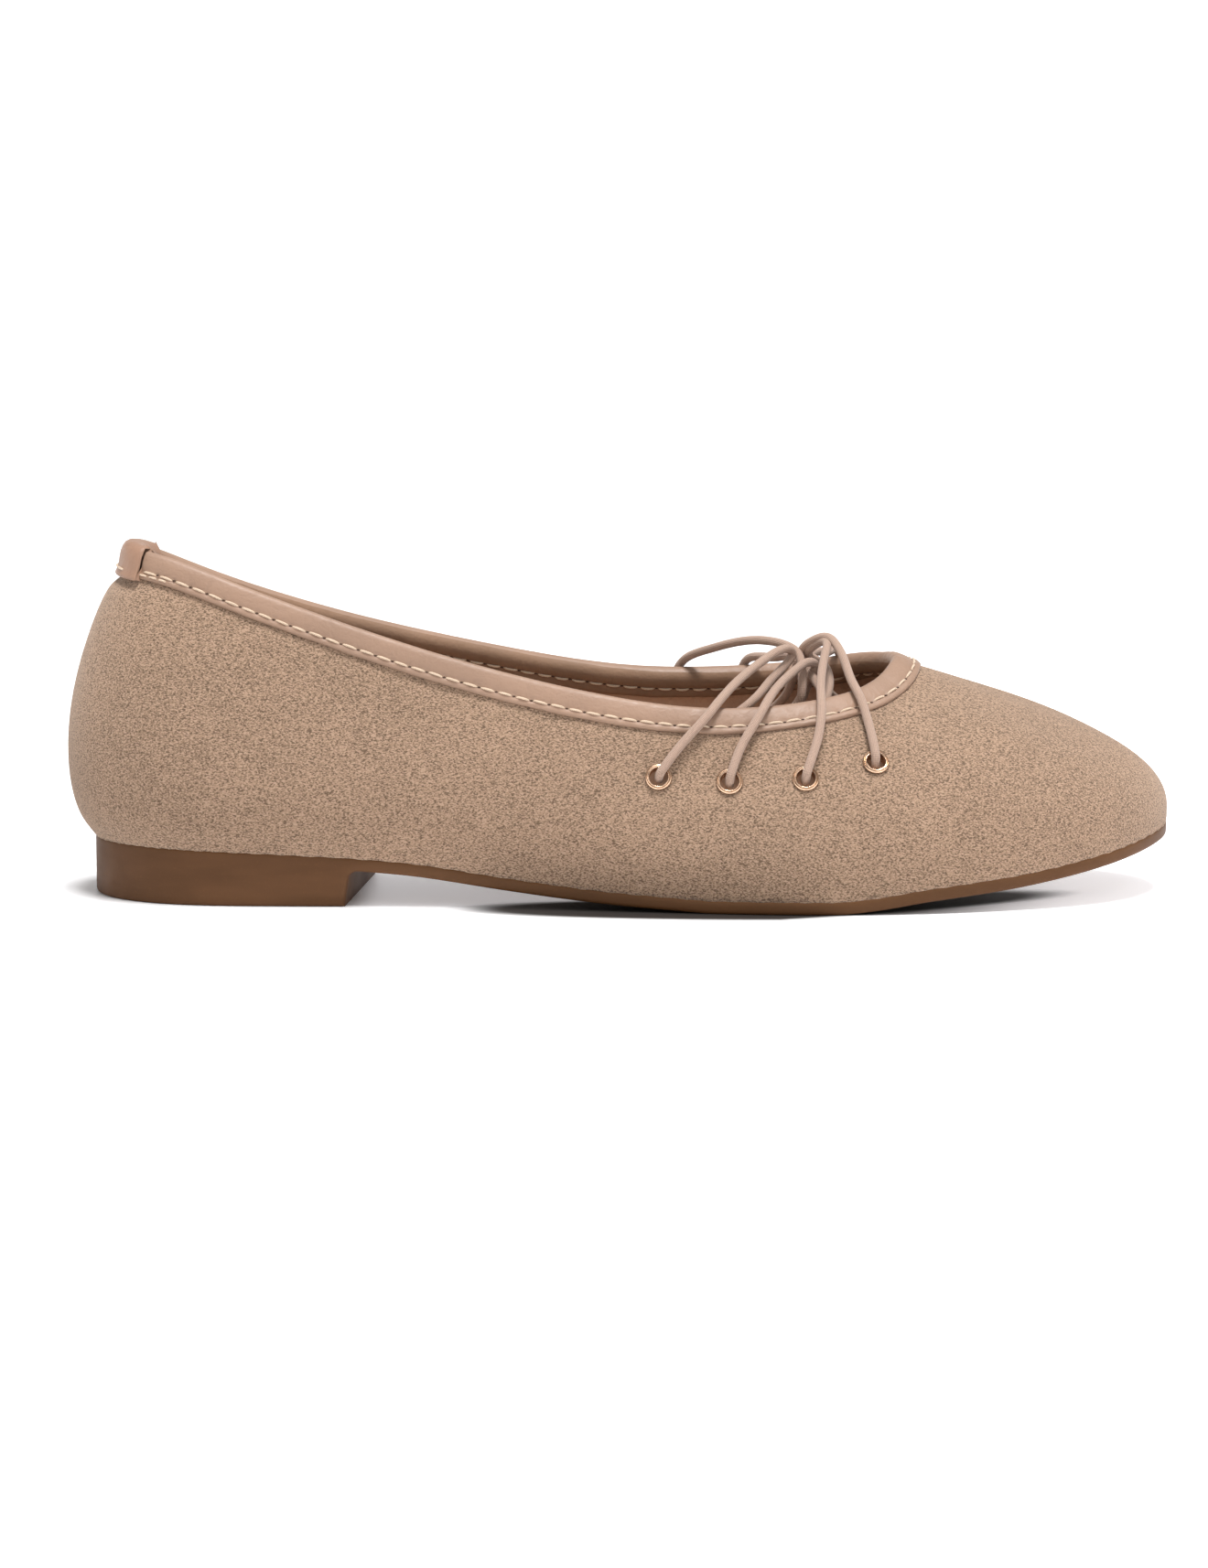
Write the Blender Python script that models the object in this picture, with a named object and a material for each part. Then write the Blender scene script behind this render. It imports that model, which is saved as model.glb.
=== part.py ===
"""A women's ballet flat, right shoe, size EU 37.

+X points to the toe, +Y to the inner (medial) side and +Z up. The origin is on the floor at the
middle of the heel block's base. All sizes are in metres.
"""
import math

import bmesh
import bpy
import numpy as np
from mathutils import Matrix, Vector

# Driving sizes of the last and of the sole
LENGTH = 0.250
BALL_WIDTH = 0.080
BACK_HEIGHT = 0.077
HEEL_HEIGHT = 0.0130
SOLE_THICKNESS = 0.0030
TOE_SPRING = 0.0125
BREAST_ALONG = 0.0648
BREAST_FILLET = 0.0025
BREAST_SLANT = 0.0045
BREAST_SLANT_REACH = 0.0300
HEEL_CENTRE_ALONG = 0.0355

# Sizes of the pieces
WALL = 0.0018
CLEARANCE = 0.0003
SOLE_LEDGE = 0.0004
SOLE_EDGE_ROUND = 0.0008
INSOLE_THICKNESS = 0.0022
INSOLE_INSET = 0.0006
BINDING_THICKNESS = 0.0010
BINDING_OUTER_DEPTH = 0.0047
BINDING_INNER_DEPTH = 0.0048
BINDING_ROLL = 0.0007
TAB_WIDTH = 0.0235
TAB_THICKNESS = 0.0010
TAB_OUTER_DEPTH = 0.0058
TAB_INNER_DEPTH = 0.0060
EYELET_OUTER = 0.0062
EYELET_BORE = 0.0041
EYELET_METAL = 0.0003
EYELET_FLANGE = 0.0004
CORD_DIAMETER = 0.0020
KNOT_LENGTH = 0.0080
KNOT_DIAMETER = 0.0052
BUNDLE_LENGTH = 0.0052
BUNDLE_DIAMETER = 0.0046

# How finely the pieces are divided
UPPER_STATIONS = 76
UPPER_ROWS = 9
BINDING_STATIONS = 68
SOLE_STATIONS = 42
EYELET_SEGMENTS = 12
CORD_SIDES = 8
CORD_STEP = 0.0045

# Sections of the upper round the last, from the heel's centre along the outer (lateral) side to the
# toe's centre and back along the inner (medial) side. Lengths along are shares of LENGTH, widths are
# shares of BALL_WIDTH, heights are shares of BACK_HEIGHT. The foot is where the wall meets the sole,
# the top is the topline. Each wall is one curve that leaves its foot by foot_out and foot_up and
# reaches its top from top_out and top_down.
# foot_along, foot_across, top_along, top_across, top_height, foot_out, foot_up, top_out, top_down
SECTIONS = [
    (0.0275, 0.0000, 0.0612, 0.0000, 1.000, 0.130, 0.080, 0.214, 0.270),
    (0.0440, -0.1650, 0.0715, -0.1080, 0.992, 0.122, 0.084, 0.200, 0.272),
    (0.0865, -0.2780, 0.1040, -0.1720, 0.966, 0.107, 0.092, 0.178, 0.288),
    (0.1500, -0.3280, 0.1640, -0.2260, 0.896, 0.096, 0.105, 0.150, 0.305),
    (0.2600, -0.3400, 0.2640, -0.2760, 0.783, 0.082, 0.115, 0.125, 0.290),
    (0.3800, -0.3600, 0.3800, -0.3160, 0.670, 0.070, 0.120, 0.108, 0.255),
    (0.5000, -0.4250, 0.4960, -0.3420, 0.586, 0.056, 0.122, 0.120, 0.210),
    (0.6080, -0.4850, 0.5920, -0.3400, 0.553, 0.044, 0.124, 0.150, 0.180),
    (0.7120, -0.4980, 0.6705, -0.2960, 0.569, 0.040, 0.128, 0.215, 0.165),
    (0.8120, -0.4540, 0.7185, -0.2160, 0.600, 0.040, 0.138, 0.300, 0.150),
    (0.9080, -0.3500, 0.7425, -0.1260, 0.638, 0.043, 0.149, 0.450, 0.154),
    (0.9720, -0.1850, 0.7527, -0.0450, 0.665, 0.047, 0.160, 0.545, 0.160),
    (0.9985, 0.0350, 0.7556, 0.0250, 0.673, 0.049, 0.166, 0.565, 0.160),
    (0.9800, 0.2450, 0.7537, 0.0950, 0.673, 0.047, 0.160, 0.545, 0.160),
    (0.9280, 0.3900, 0.7445, 0.1750, 0.665, 0.043, 0.149, 0.450, 0.154),
    (0.8420, 0.4820, 0.7205, 0.2520, 0.653, 0.040, 0.138, 0.300, 0.150),
    (0.7360, 0.4940, 0.6725, 0.3160, 0.622, 0.040, 0.128, 0.210, 0.172),
    (0.6280, 0.4300, 0.5930, 0.3440, 0.600, 0.048, 0.124, 0.155, 0.190),
    (0.5200, 0.3380, 0.4960, 0.3380, 0.609, 0.070, 0.122, 0.120, 0.225),
    (0.3920, 0.2850, 0.3800, 0.3120, 0.673, 0.090, 0.120, 0.108, 0.260),
    (0.2640, 0.3000, 0.2640, 0.2740, 0.760, 0.092, 0.118, 0.125, 0.295),
    (0.1520, 0.3200, 0.1640, 0.2240, 0.860, 0.100, 0.106, 0.150, 0.305),
    (0.0865, 0.2720, 0.1040, 0.1710, 0.938, 0.107, 0.092, 0.178, 0.288),
    (0.0440, 0.1620, 0.0715, 0.1080, 0.985, 0.122, 0.084, 0.200, 0.272),
]

# Underside of the sole's plate: along as a share of LENGTH, lift at the heel as a share of the
# plate's height there, lift at the toe as a share of TOE_SPRING
# along, heel_lift, toe_lift
SOLE_PROFILE = [
    (0.000, 1.000, 0.000),
    (0.080, 0.975, 0.000),
    (0.243, 0.820, 0.000),
    (0.304, 0.715, 0.000),
    (0.400, 0.390, 0.000),
    (0.450, 0.240, 0.000),
    (0.500, 0.125, 0.000),
    (0.552, 0.045, 0.000),
    (0.588, 0.000, 0.000),
    (0.690, 0.000, 0.000),
    (0.728, 0.000, 0.070),
    (0.770, 0.000, 0.200),
    (0.852, 0.000, 0.400),
    (0.934, 0.000, 0.690),
    (1.000, 0.000, 1.000),
]

# Eyelets: station round the upper in rows of SECTIONS, and distance below the topline as a share
# of BACK_HEIGHT
# station, below_top
EYELETS_LATERAL = [
    (6.38, 0.200),
    (7.01, 0.209),
    (7.72, 0.231),
    (8.48, 0.240),
]
EYELETS_MEDIAL = [
    (17.63, 0.210),
    (17.00, 0.214),
    (16.28, 0.230),
    (15.53, 0.238),
]

# The elastic cord. Each eyelet holds a loop: its outer leg runs up the wall and over the topline at
# a crossing station, then freely through its own points to the gather. Its inner leg runs straight
# down inside to the same eyelet. Both sides' loops hook together in the knot over the throat. Free
# points are shares of LENGTH from the back, of BALL_WIDTH across and of BACK_HEIGHT up.
KNOT_PLACE = (0.6660, 0.0000, 0.7078)
# eyelet row, crossing station, free points
LACE_LATERAL = [
    (0, 7.02, [(0.6280, -0.2063, 0.6779), (0.6520, -0.1100, 0.7117)]),
    (1, 7.52, [(0.6492, -0.2063, 0.6779), (0.6608, -0.1125, 0.7013)]),
    (2, 8.15, [(0.6872, -0.2000, 0.7013), (0.6892, -0.1250, 0.7429), (0.6800, -0.1025, 0.7351)]),
    (3, 8.80, [(0.7052, -0.1562, 0.7169), (0.6924, -0.1187, 0.7584), (0.6780, -0.1000, 0.7403)]),
]
LACE_MEDIAL = [
    (0, 17.37, [(0.5900, 0.2562, 0.7013), (0.6300, 0.1437, 0.7221)]),
    (1, 16.66, [(0.6320, 0.2250, 0.6909), (0.6548, 0.1187, 0.7091)]),
    (2, 15.80, [(0.6820, 0.2250, 0.7039), (0.6760, 0.1187, 0.7143)]),
    (3, 15.32, [(0.6960, 0.2125, 0.7117), (0.6820, 0.1187, 0.7195)]),
]

HEEL_PLATE_LIFT = HEEL_HEIGHT - SOLE_THICKNESS
CORD_RADIUS = CORD_DIAMETER / 2
BINDING_CREST = CLEARANCE + BINDING_THICKNESS + BINDING_ROLL


# Curves and tables

def smooth_loop(values, stations):
    """Values at fractional stations of a closed loop of rows, on a periodic cubic spline."""
    rows = np.asarray(values, float)
    count = len(rows)
    system = np.zeros((count, count))
    for row in range(count):
        system[row, row] = 4.0
        system[row, (row - 1) % count] = 1.0
        system[row, (row + 1) % count] = 1.0
    ahead = np.roll(rows, -1, axis=0)
    behind = np.roll(rows, 1, axis=0)
    slopes = np.linalg.solve(system, 3.0 * (ahead - behind))
    place = np.asarray(stations, float) % count
    first = np.floor(place).astype(int) % count
    second = (first + 1) % count
    part = (place - np.floor(place))[:, None]
    rise = part * part * (3.0 - 2.0 * part)
    start_bend = part * (1.0 - part) ** 2
    end_bend = part * part * (part - 1.0)
    return (rows[first] * (1.0 - rise) + rows[second] * rise
            + slopes[first] * start_bend + slopes[second] * end_bend)


def steady_curve(places, values, at):
    """Values of a smooth curve through a table that never overshoots its rows."""
    places = np.asarray(places, float)
    values = np.asarray(values, float)
    steps = np.diff(places)
    rates = np.diff(values) / steps
    slopes = np.zeros(len(values))
    for row in range(1, len(values) - 1):
        before, after = rates[row - 1], rates[row]
        if before * after > 0.0:
            slopes[row] = 2.0 * before * after / (before + after)
    slopes[0], slopes[-1] = rates[0], rates[-1]
    at = np.clip(np.asarray(at, float), places[0], places[-1])
    first = np.clip(np.searchsorted(places, at, side="right") - 1, 0, len(steps) - 1)
    step = steps[first]
    part = (at - places[first]) / step
    rise = part * part * (3.0 - 2.0 * part)
    start_bend = part * (1.0 - part) ** 2 * step
    end_bend = part * part * (part - 1.0) * step
    return (values[first] * (1.0 - rise) + values[first + 1] * rise
            + slopes[first] * start_bend + slopes[first + 1] * end_bend)


def unit(vectors):
    """The vectors at length one."""
    vectors = np.asarray(vectors, float)
    return vectors / np.linalg.norm(vectors, axis=-1, keepdims=True)


def plate_underside(along):
    """Height of the plate's underside at a distance along from the back, without the heel block."""
    table = np.asarray(SOLE_PROFILE)
    heel = steady_curve(table[:, 0], table[:, 1], along / LENGTH) * HEEL_PLATE_LIFT
    toe = steady_curve(table[:, 0], table[:, 2], along / LENGTH) * TOE_SPRING
    return heel + toe


def plate_top(along):
    """Height of the sole's top face, where the upper and the insole stand."""
    return plate_underside(along) + SOLE_THICKNESS


# The upper's wall, which every other piece follows

class Wall:
    """The outer face of the upper at a list of stations round the last."""

    fine_rows = 60

    def __init__(self, stations):
        self.stations = np.asarray(stations, float)
        table = np.asarray(SECTIONS)
        spread = 0.02
        here = smooth_loop(table, self.stations)
        before = smooth_loop(table, self.stations - spread)
        after = smooth_loop(table, self.stations + spread)
        self.foot = self.foot_points(here)
        self.top = self.top_points(here)
        foot_out = self.side(self.foot_points(before), self.foot_points(after))
        top_out = self.side(self.top_points(before), self.top_points(after))
        self.foot_out = foot_out
        self.top_out = top_out
        up = np.array([0.0, 0.0, 1.0])
        foot_guide = (self.foot + foot_out * (here[:, 5:6] * BALL_WIDTH)
                      + up * (here[:, 6:7] * BACK_HEIGHT))
        top_guide = (self.top + top_out * (here[:, 7:8] * BALL_WIDTH)
                     - up * (here[:, 8:9] * BACK_HEIGHT))
        part = np.linspace(0.0, 1.0, self.fine_rows + 1)[:, None, None]
        curve = ((1 - part) ** 3 * self.foot + 3 * (1 - part) ** 2 * part * foot_guide
                 + 3 * (1 - part) * part ** 2 * top_guide + part ** 3 * self.top)
        self.curve = curve.transpose(1, 0, 2)
        steps = np.linalg.norm(np.diff(self.curve, axis=1), axis=2)
        self.length = np.concatenate([np.zeros((len(steps), 1)), np.cumsum(steps, axis=1)], axis=1)

    @staticmethod
    def foot_points(rows):
        along = rows[:, 0] * LENGTH
        return np.stack([along - HEEL_CENTRE_ALONG, rows[:, 1] * BALL_WIDTH,
                         plate_top(along) + CLEARANCE], axis=1)

    @staticmethod
    def top_points(rows):
        return np.stack([rows[:, 2] * LENGTH - HEEL_CENTRE_ALONG, rows[:, 3] * BALL_WIDTH,
                         rows[:, 4] * BACK_HEIGHT], axis=1)

    @staticmethod
    def side(before, after):
        """Level unit vectors out of the shoe, square to the way round it."""
        ahead = after - before
        return unit(np.stack([ahead[:, 1], -ahead[:, 0], np.zeros(len(ahead))], axis=1))

    def at(self, below):
        """Points on the outer face at a distance below the topline, one for each station.

        Above the topline the wall runs on straight.
        """
        below = np.broadcast_to(np.asarray(below, float), (len(self.stations),))
        points = np.empty((len(self.stations), 3))
        for row, depth in enumerate(below):
            total = self.length[row, -1]
            if depth < 0.0:
                rising = self.curve[row, -1] - self.curve[row, -2]
                points[row] = self.curve[row, -1] - unit(rising) * depth
            else:
                for axis in range(3):
                    points[row, axis] = np.interp(total - depth, self.length[row],
                                                  self.curve[row, :, axis])
        return points


def wall_frame(stations, below):
    """Points on the outer face with their unit normals, at stations and depths below the topline."""
    spread_station = 0.03
    spread_depth = 0.0004
    stations = np.asarray(stations, float)
    below = np.broadcast_to(np.asarray(below, float), stations.shape)
    along = Wall(stations + spread_station).at(below) - Wall(stations - spread_station).at(below)
    wall = Wall(stations)
    upward = wall.at(below - spread_depth) - wall.at(below + spread_depth)
    return wall.at(below), unit(np.cross(along, upward))


def on_wall(station, below, out):
    """One point at a height out of the wall's outer face."""
    point, normal = wall_frame([station], [below])
    return Vector(point[0] + normal[0] * out)


def throat_point(shares):
    """A free point over the throat from its shares of the three driving sizes."""
    along, across, high = shares
    return Vector((along * LENGTH - HEEL_CENTRE_ALONG, across * BALL_WIDTH, high * BACK_HEIGHT))


# Mesh helpers

def make_material(name, colour, roughness, metallic=0.0):
    """A plain Principled material."""
    material = bpy.data.materials.new(name)
    material.use_nodes = True
    shader = material.node_tree.nodes["Principled BSDF"]
    shader.inputs["Base Color"].default_value = (*colour, 1.0)
    shader.inputs["Roughness"].default_value = roughness
    shader.inputs["Metallic"].default_value = metallic
    return material


def make_object(name, mesh_data, material, smooth_angle=40.0):
    """Put a bmesh or a mesh into the scene as a named object with its material."""
    if isinstance(mesh_data, bmesh.types.BMesh):
        mesh = bpy.data.meshes.new(name)
        mesh_data.to_mesh(mesh)
        mesh_data.free()
    else:
        mesh = mesh_data
    mesh.shade_smooth()
    mesh.set_sharp_from_angle(angle=math.radians(smooth_angle))
    item = bpy.data.objects.new(name, mesh)
    item.data.materials.append(material)
    bpy.context.scene.collection.objects.link(item)
    return item


def ring_mesh(rings, closed_rings=True, closed_tube=True):
    """A bmesh that joins rings of points: each ring closed, and the last joined to the first."""
    mesh = bmesh.new()
    verts = [[mesh.verts.new(point) for point in ring] for ring in rings]
    count = len(verts)
    width = len(verts[0])
    for row in range(count if closed_tube else count - 1):
        for column in range(width if closed_rings else width - 1):
            mesh.faces.new((verts[row][column], verts[(row + 1) % count][column],
                            verts[(row + 1) % count][(column + 1) % width],
                            verts[row][(column + 1) % width]))
    if not closed_tube:
        mesh.faces.new(verts[0])
        mesh.faces.new(reversed(verts[-1]))
    bmesh.ops.triangulate(mesh, faces=mesh.faces[:])
    bmesh.ops.recalc_face_normals(mesh, faces=mesh.faces[:])
    if mesh.calc_volume(signed=True) < 0.0:
        bmesh.ops.reverse_faces(mesh, faces=mesh.faces[:])
    return mesh


def cut(item, cutters):
    """Cut pieces out of an object, and keep the cutters as hidden wires."""
    for number, cutter in enumerate(cutters):
        cutter.hide_render = True
        cutter.display_type = "WIRE"
        modifier = item.modifiers.new(f"hole_{number + 1}", "BOOLEAN")
        modifier.operation = "DIFFERENCE"
        modifier.solver = "EXACT"
        modifier.object = cutter


# The sole's outline, worked out from the feet of the wall

def foot_outline(grow):
    """Lateral and medial edges of a plate that is larger than the wall's foot by grow.

    Returns a function that gives both edges at a distance along from the shoe's back, and the
    first and last places along.
    """
    fine = np.linspace(0.0, len(SECTIONS), 960, endpoint=False)
    wall = Wall(fine)
    edge = wall.foot + wall.foot_out * grow
    along = edge[:, 0] + HEEL_CENTRE_ALONG
    across = edge[:, 1]
    back = int(np.argmin(along))
    toe = int(np.argmax(along))
    order = np.arange(len(fine))
    lateral = np.roll(order, -back)[: (toe - back) % len(fine) + 1]
    medial = np.roll(order, -toe)[: (back - toe) % len(fine) + 1]

    def edges(place):
        left = np.interp(place, along[lateral], across[lateral])
        right = np.interp(place, along[medial][::-1], across[medial][::-1])
        return left, right

    return edges, along[back], along[toe]


def plate_places(first, last, count, extra):
    """Places along a plate, closer together at its round ends, with some set ones added."""
    turn = np.linspace(0.0, math.pi, count)
    places = first + (last - first) * (1.0 - np.cos(turn)) / 2
    places = places[1:-1]
    keep = [place for place in places if all(abs(place - other) > 0.0012 for other in extra)]
    return np.array(sorted([*keep, *extra]))


def slant(place):
    """How far a row of the plate leans forward on the medial side."""
    return BREAST_SLANT * np.exp(-((place - BREAST_ALONG) / BREAST_SLANT_REACH) ** 2)


def plate_mesh(levels, places):
    """A closed plate from levels, bottom to top.

    Each level is an edge function, and a height function of the row's place along and of the
    point's own place. The rows lean forward on the medial side near the heel's breast.
    """
    mesh = bmesh.new()
    rings = []
    for edges, height in levels:
        leaned = places + slant(places)
        left = edges(places)[0]
        right = edges(leaned)[1]
        ring_left = [mesh.verts.new((place - HEEL_CENTRE_ALONG, side, level))
                     for place, side, level in zip(places, left, height(places, places))]
        ring_right = [mesh.verts.new((place - HEEL_CENTRE_ALONG, side, level))
                      for place, side, level in zip(leaned, right, height(places, leaned))]
        rings.append((ring_left, ring_right))
    count = len(places)
    for lower, upper in zip(rings, rings[1:]):
        loop_low = [*lower[0], *reversed(lower[1])]
        loop_high = [*upper[0], *reversed(upper[1])]
        size = len(loop_low)
        for step in range(size):
            following = (step + 1) % size
            mesh.faces.new((loop_low[step], loop_low[following], loop_high[following], loop_high[step]))
    for ring, turned in ((rings[0], True), (rings[-1], False)):
        for step in range(count - 1):
            face = [ring[0][step], ring[0][step + 1], ring[1][step + 1], ring[1][step]]
            mesh.faces.new(face[::-1] if turned else face)
    bmesh.ops.triangulate(mesh, faces=mesh.faces[:])
    bmesh.ops.recalc_face_normals(mesh, faces=mesh.faces[:])
    return mesh


# The pieces

def build_outsole(material):
    """One moulded plate with a low heel block under its back."""
    edges_full, first, last = foot_outline(SOLE_LEDGE)
    edges_under, under_first, under_last = foot_outline(SOLE_LEDGE - SOLE_EDGE_ROUND * 1.6)
    edges_trim, trim_first, trim_last = foot_outline(SOLE_LEDGE - SOLE_EDGE_ROUND * 0.4)

    def squeeze(edges, inner_first, inner_last):
        """Edges of a smaller outline, stretched so that it uses the same share of places."""
        def squeezed(place):
            share = (place - first) / (last - first)
            return edges(inner_first + share * (inner_last - inner_first))
        return squeezed

    def underside(place, spot):
        plate = plate_underside(spot)
        past = np.clip(place - BREAST_ALONG, 0.0, BREAST_FILLET)
        fillet = BREAST_FILLET - np.sqrt(BREAST_FILLET ** 2 - (BREAST_FILLET - past) ** 2)
        return np.where(place <= BREAST_ALONG, 0.0, plate - np.minimum(fillet, plate))

    extra = [BREAST_ALONG, BREAST_ALONG + 0.0003, BREAST_ALONG + BREAST_FILLET * 0.4,
             BREAST_ALONG + BREAST_FILLET, 0.590 * LENGTH, 0.688 * LENGTH]
    places = plate_places(first, last, SOLE_STATIONS, extra)
    rounding = SOLE_EDGE_ROUND
    levels = [
        (squeeze(edges_under, under_first, under_last), underside),
        (squeeze(edges_trim, trim_first, trim_last), lambda place, spot: underside(place, spot) + rounding),
        (edges_full, lambda place, spot: plate_top(spot) - rounding * 0.5),
        (squeeze(edges_trim, trim_first, trim_last), lambda place, spot: plate_top(spot)),
    ]
    return make_object("outsole", plate_mesh(levels, places), material)


def build_insole(material):
    """The footbed inside the wall, on the outsole."""
    shrink = -(WALL + INSOLE_INSET)
    edges, first, last = foot_outline(shrink)
    places = plate_places(first, last, SOLE_STATIONS - 8, [])
    levels = [
        (edges, lambda place, spot: plate_top(spot) + CLEARANCE),
        (edges, lambda place, spot: plate_top(spot) + CLEARANCE + INSOLE_THICKNESS),
    ]
    return make_object("insole", plate_mesh(levels, places), material)


def build_upper(material):
    """The suede shell: one wall, open at the collar and underneath, with a hole for each eyelet."""
    stations = np.linspace(0.0, len(SECTIONS), UPPER_STATIONS, endpoint=False)
    wall = Wall(stations)
    total = wall.length[:, -1]
    outer = []
    inner = []
    for row in range(UPPER_ROWS + 1):
        share = row / UPPER_ROWS
        point, normal = wall_frame(stations, total * (1.0 - share))
        inside = point - normal * WALL
        if row == 0:
            inside[:, 2] = point[:, 2]
        outer.append(point)
        inner.append(inside)
    rings = [*outer, *reversed(inner)]
    columns = np.asarray(rings).transpose(1, 0, 2)
    upper = make_object("upper", ring_mesh(columns), material)
    cutters = []
    for number, (station, below) in enumerate([*EYELETS_LATERAL, *EYELETS_MEDIAL]):
        radius = EYELET_BORE / 2 + EYELET_METAL + CLEARANCE
        cutters.append(hole_cutter(f"eyelet_hole_{number + 1}", station, below * BACK_HEIGHT, radius))
    cut(upper, cutters)
    return upper


def eyelet_frame(station, below):
    """A matrix whose Z runs out of the wall at an eyelet, with its origin on the outer face."""
    point, normal = wall_frame([station], [below])
    turn = Vector(normal[0]).to_track_quat("Z", "Y")
    return Matrix.Translation(Vector(point[0])) @ turn.to_matrix().to_4x4()


def hole_cutter(name, station, below, radius):
    """A round bar through the wall."""
    mesh = bmesh.new()
    bmesh.ops.create_cone(mesh, cap_ends=True, segments=EYELET_SEGMENTS, radius1=radius,
                          radius2=radius, depth=WALL * 4)
    item = bpy.data.objects.new(name, bpy.data.meshes.new(name))
    mesh.to_mesh(item.data)
    mesh.free()
    item.matrix_world = (eyelet_frame(station, below)
                         @ Matrix.Translation((0.0, 0.0, -WALL / 2)))
    bpy.context.scene.collection.objects.link(item)
    return item


def build_eyelet(name, station, below, material):
    """A rolled metal eyelet: a barrel with a flange outside and a turned rim inside."""
    bore = EYELET_BORE / 2
    barrel = bore + EYELET_METAL
    rim = EYELET_OUTER / 2
    out = CLEARANCE
    deep = WALL + CLEARANCE
    profile = [
        (bore, -deep - EYELET_FLANGE),
        (rim * 0.93, -deep - EYELET_FLANGE),
        (rim * 0.93, -deep),
        (barrel, -deep),
        (barrel, out),
        (rim, out),
        (rim * 0.94, out + EYELET_FLANGE),
        (bore * 1.10, out + EYELET_FLANGE),
        (bore, out + EYELET_FLANGE * 0.5),
    ]
    rings = []
    for step in range(EYELET_SEGMENTS):
        turn = 2.0 * math.pi * step / EYELET_SEGMENTS
        rings.append([(radius * math.cos(turn), radius * math.sin(turn), height)
                      for radius, height in profile])
    item = make_object(name, ring_mesh(rings), material, 50.0)
    item.matrix_world = eyelet_frame(station, below)
    return item


def folded_strip(stations, section, closed):
    """Rings of a strip folded over the topline: each section row is depth below and height out."""
    rings = []
    for below, out in section:
        point, normal = wall_frame(stations, below)
        rings.append(point + normal * out)
    return ring_mesh(np.asarray(rings).transpose(1, 0, 2), closed_tube=closed)


def build_binding(material):
    """A leather strip folded over the topline, rolled full at its crest."""
    gap = CLEARANCE
    leather = BINDING_THICKNESS
    full = BINDING_CREST
    inside = -WALL - gap
    section = [
        (BINDING_OUTER_DEPTH, gap),
        (BINDING_OUTER_DEPTH, gap + leather * 0.7),
        (BINDING_OUTER_DEPTH * 0.68, gap + leather * 0.9),
        (BINDING_OUTER_DEPTH * 0.40, full),
        (-full * 0.1, full),
        (-full * 0.8, full * 0.45),
        (-full, -WALL / 2),
        (-full * 0.8, inside - leather * 0.75),
        (0.0, inside - leather * 1.3),
        (BINDING_INNER_DEPTH, inside - leather * 0.8),
        (BINDING_INNER_DEPTH, inside),
        (-gap, inside),
        (-gap, gap),
    ]
    stations = np.linspace(0.0, len(SECTIONS), BINDING_STATIONS, endpoint=False)
    return make_object("topline_binding", folded_strip(stations, section, True), material)


def build_heel_tab(material):
    """A short leather strip folded over the binding at the back of the heel."""
    gap = CLEARANCE
    cover = BINDING_CREST + gap
    leather = TAB_THICKNESS
    inside = -WALL - gap - BINDING_THICKNESS * 1.3 - gap
    crest = cover
    flank = gap + BINDING_THICKNESS + gap
    section = [
        (TAB_OUTER_DEPTH, flank - gap * 0.5),
        (TAB_OUTER_DEPTH, flank + leather * 0.8),
        (TAB_OUTER_DEPTH * 0.72, flank + leather),
        (TAB_OUTER_DEPTH * 0.40, cover + leather * 0.8),
        (0.0, cover + leather),
        (-crest - leather * 0.5, cover * 0.75),
        (-crest - leather, -WALL / 2),
        (-crest - leather * 0.5, inside - leather * 0.4),
        (0.0, inside - leather),
        (TAB_INNER_DEPTH, inside - leather * 0.8),
        (TAB_INNER_DEPTH, inside),
        (0.0, inside),
        (-crest * 0.85, inside * 0.86),
        (-crest, -WALL / 2),
        (-crest * 0.85, cover * 0.66),
        (0.0, cover),
        (BINDING_OUTER_DEPTH * 0.42, cover),
        (BINDING_OUTER_DEPTH * 0.74, flank + gap * 0.4),
    ]
    reach = TAB_WIDTH / 2
    probe = np.linspace(0.0, 3.0, 61)
    points = Wall(probe).top
    run = np.concatenate([[0.0], np.cumsum(np.linalg.norm(np.diff(points, axis=0), axis=1))])
    end = float(np.interp(reach, run, probe))
    stations = np.linspace(-end, end, 11)
    return make_object("heel_tab", folded_strip(stations, section, False), material)


def smooth_route(points):
    """A route through chosen points, with a point about every CORD_STEP."""
    points = [Vector(point) for point in points]
    ends = [points[0] * 2 - points[1], *points, points[-1] * 2 - points[-2]]
    route = [points[0]]
    for before, start, end, after in zip(ends, ends[1:], ends[2:], ends[3:]):
        parts = max(1, round((end - start).length / CORD_STEP))
        for step in range(1, parts + 1):
            part = step / parts
            route.append(0.5 * (2 * start + (end - before) * part
                                + (2 * before - 5 * start + 4 * end - after) * part ** 2
                                + (3 * start - before - 3 * end + after) * part ** 3))
    return route


def cord_tube(name, route, material):
    """A round tube along a route, with flat ends."""
    rings = []
    side = Vector((0.0, 0.0, 1.0))
    for number, point in enumerate(route):
        ahead = route[min(number + 1, len(route) - 1)] - route[max(number - 1, 0)]
        ahead.normalize()
        side = (side - ahead * side.dot(ahead)).normalized()
        across = ahead.cross(side)
        ring = []
        for step in range(CORD_SIDES):
            turn = 2.0 * math.pi * step / CORD_SIDES
            ring.append(point + side * (CORD_RADIUS * math.cos(turn))
                        + across * (CORD_RADIUS * math.sin(turn)))
        rings.append(ring)
    return make_object(name, ring_mesh(rings, closed_tube=False), material, 60.0)


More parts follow.
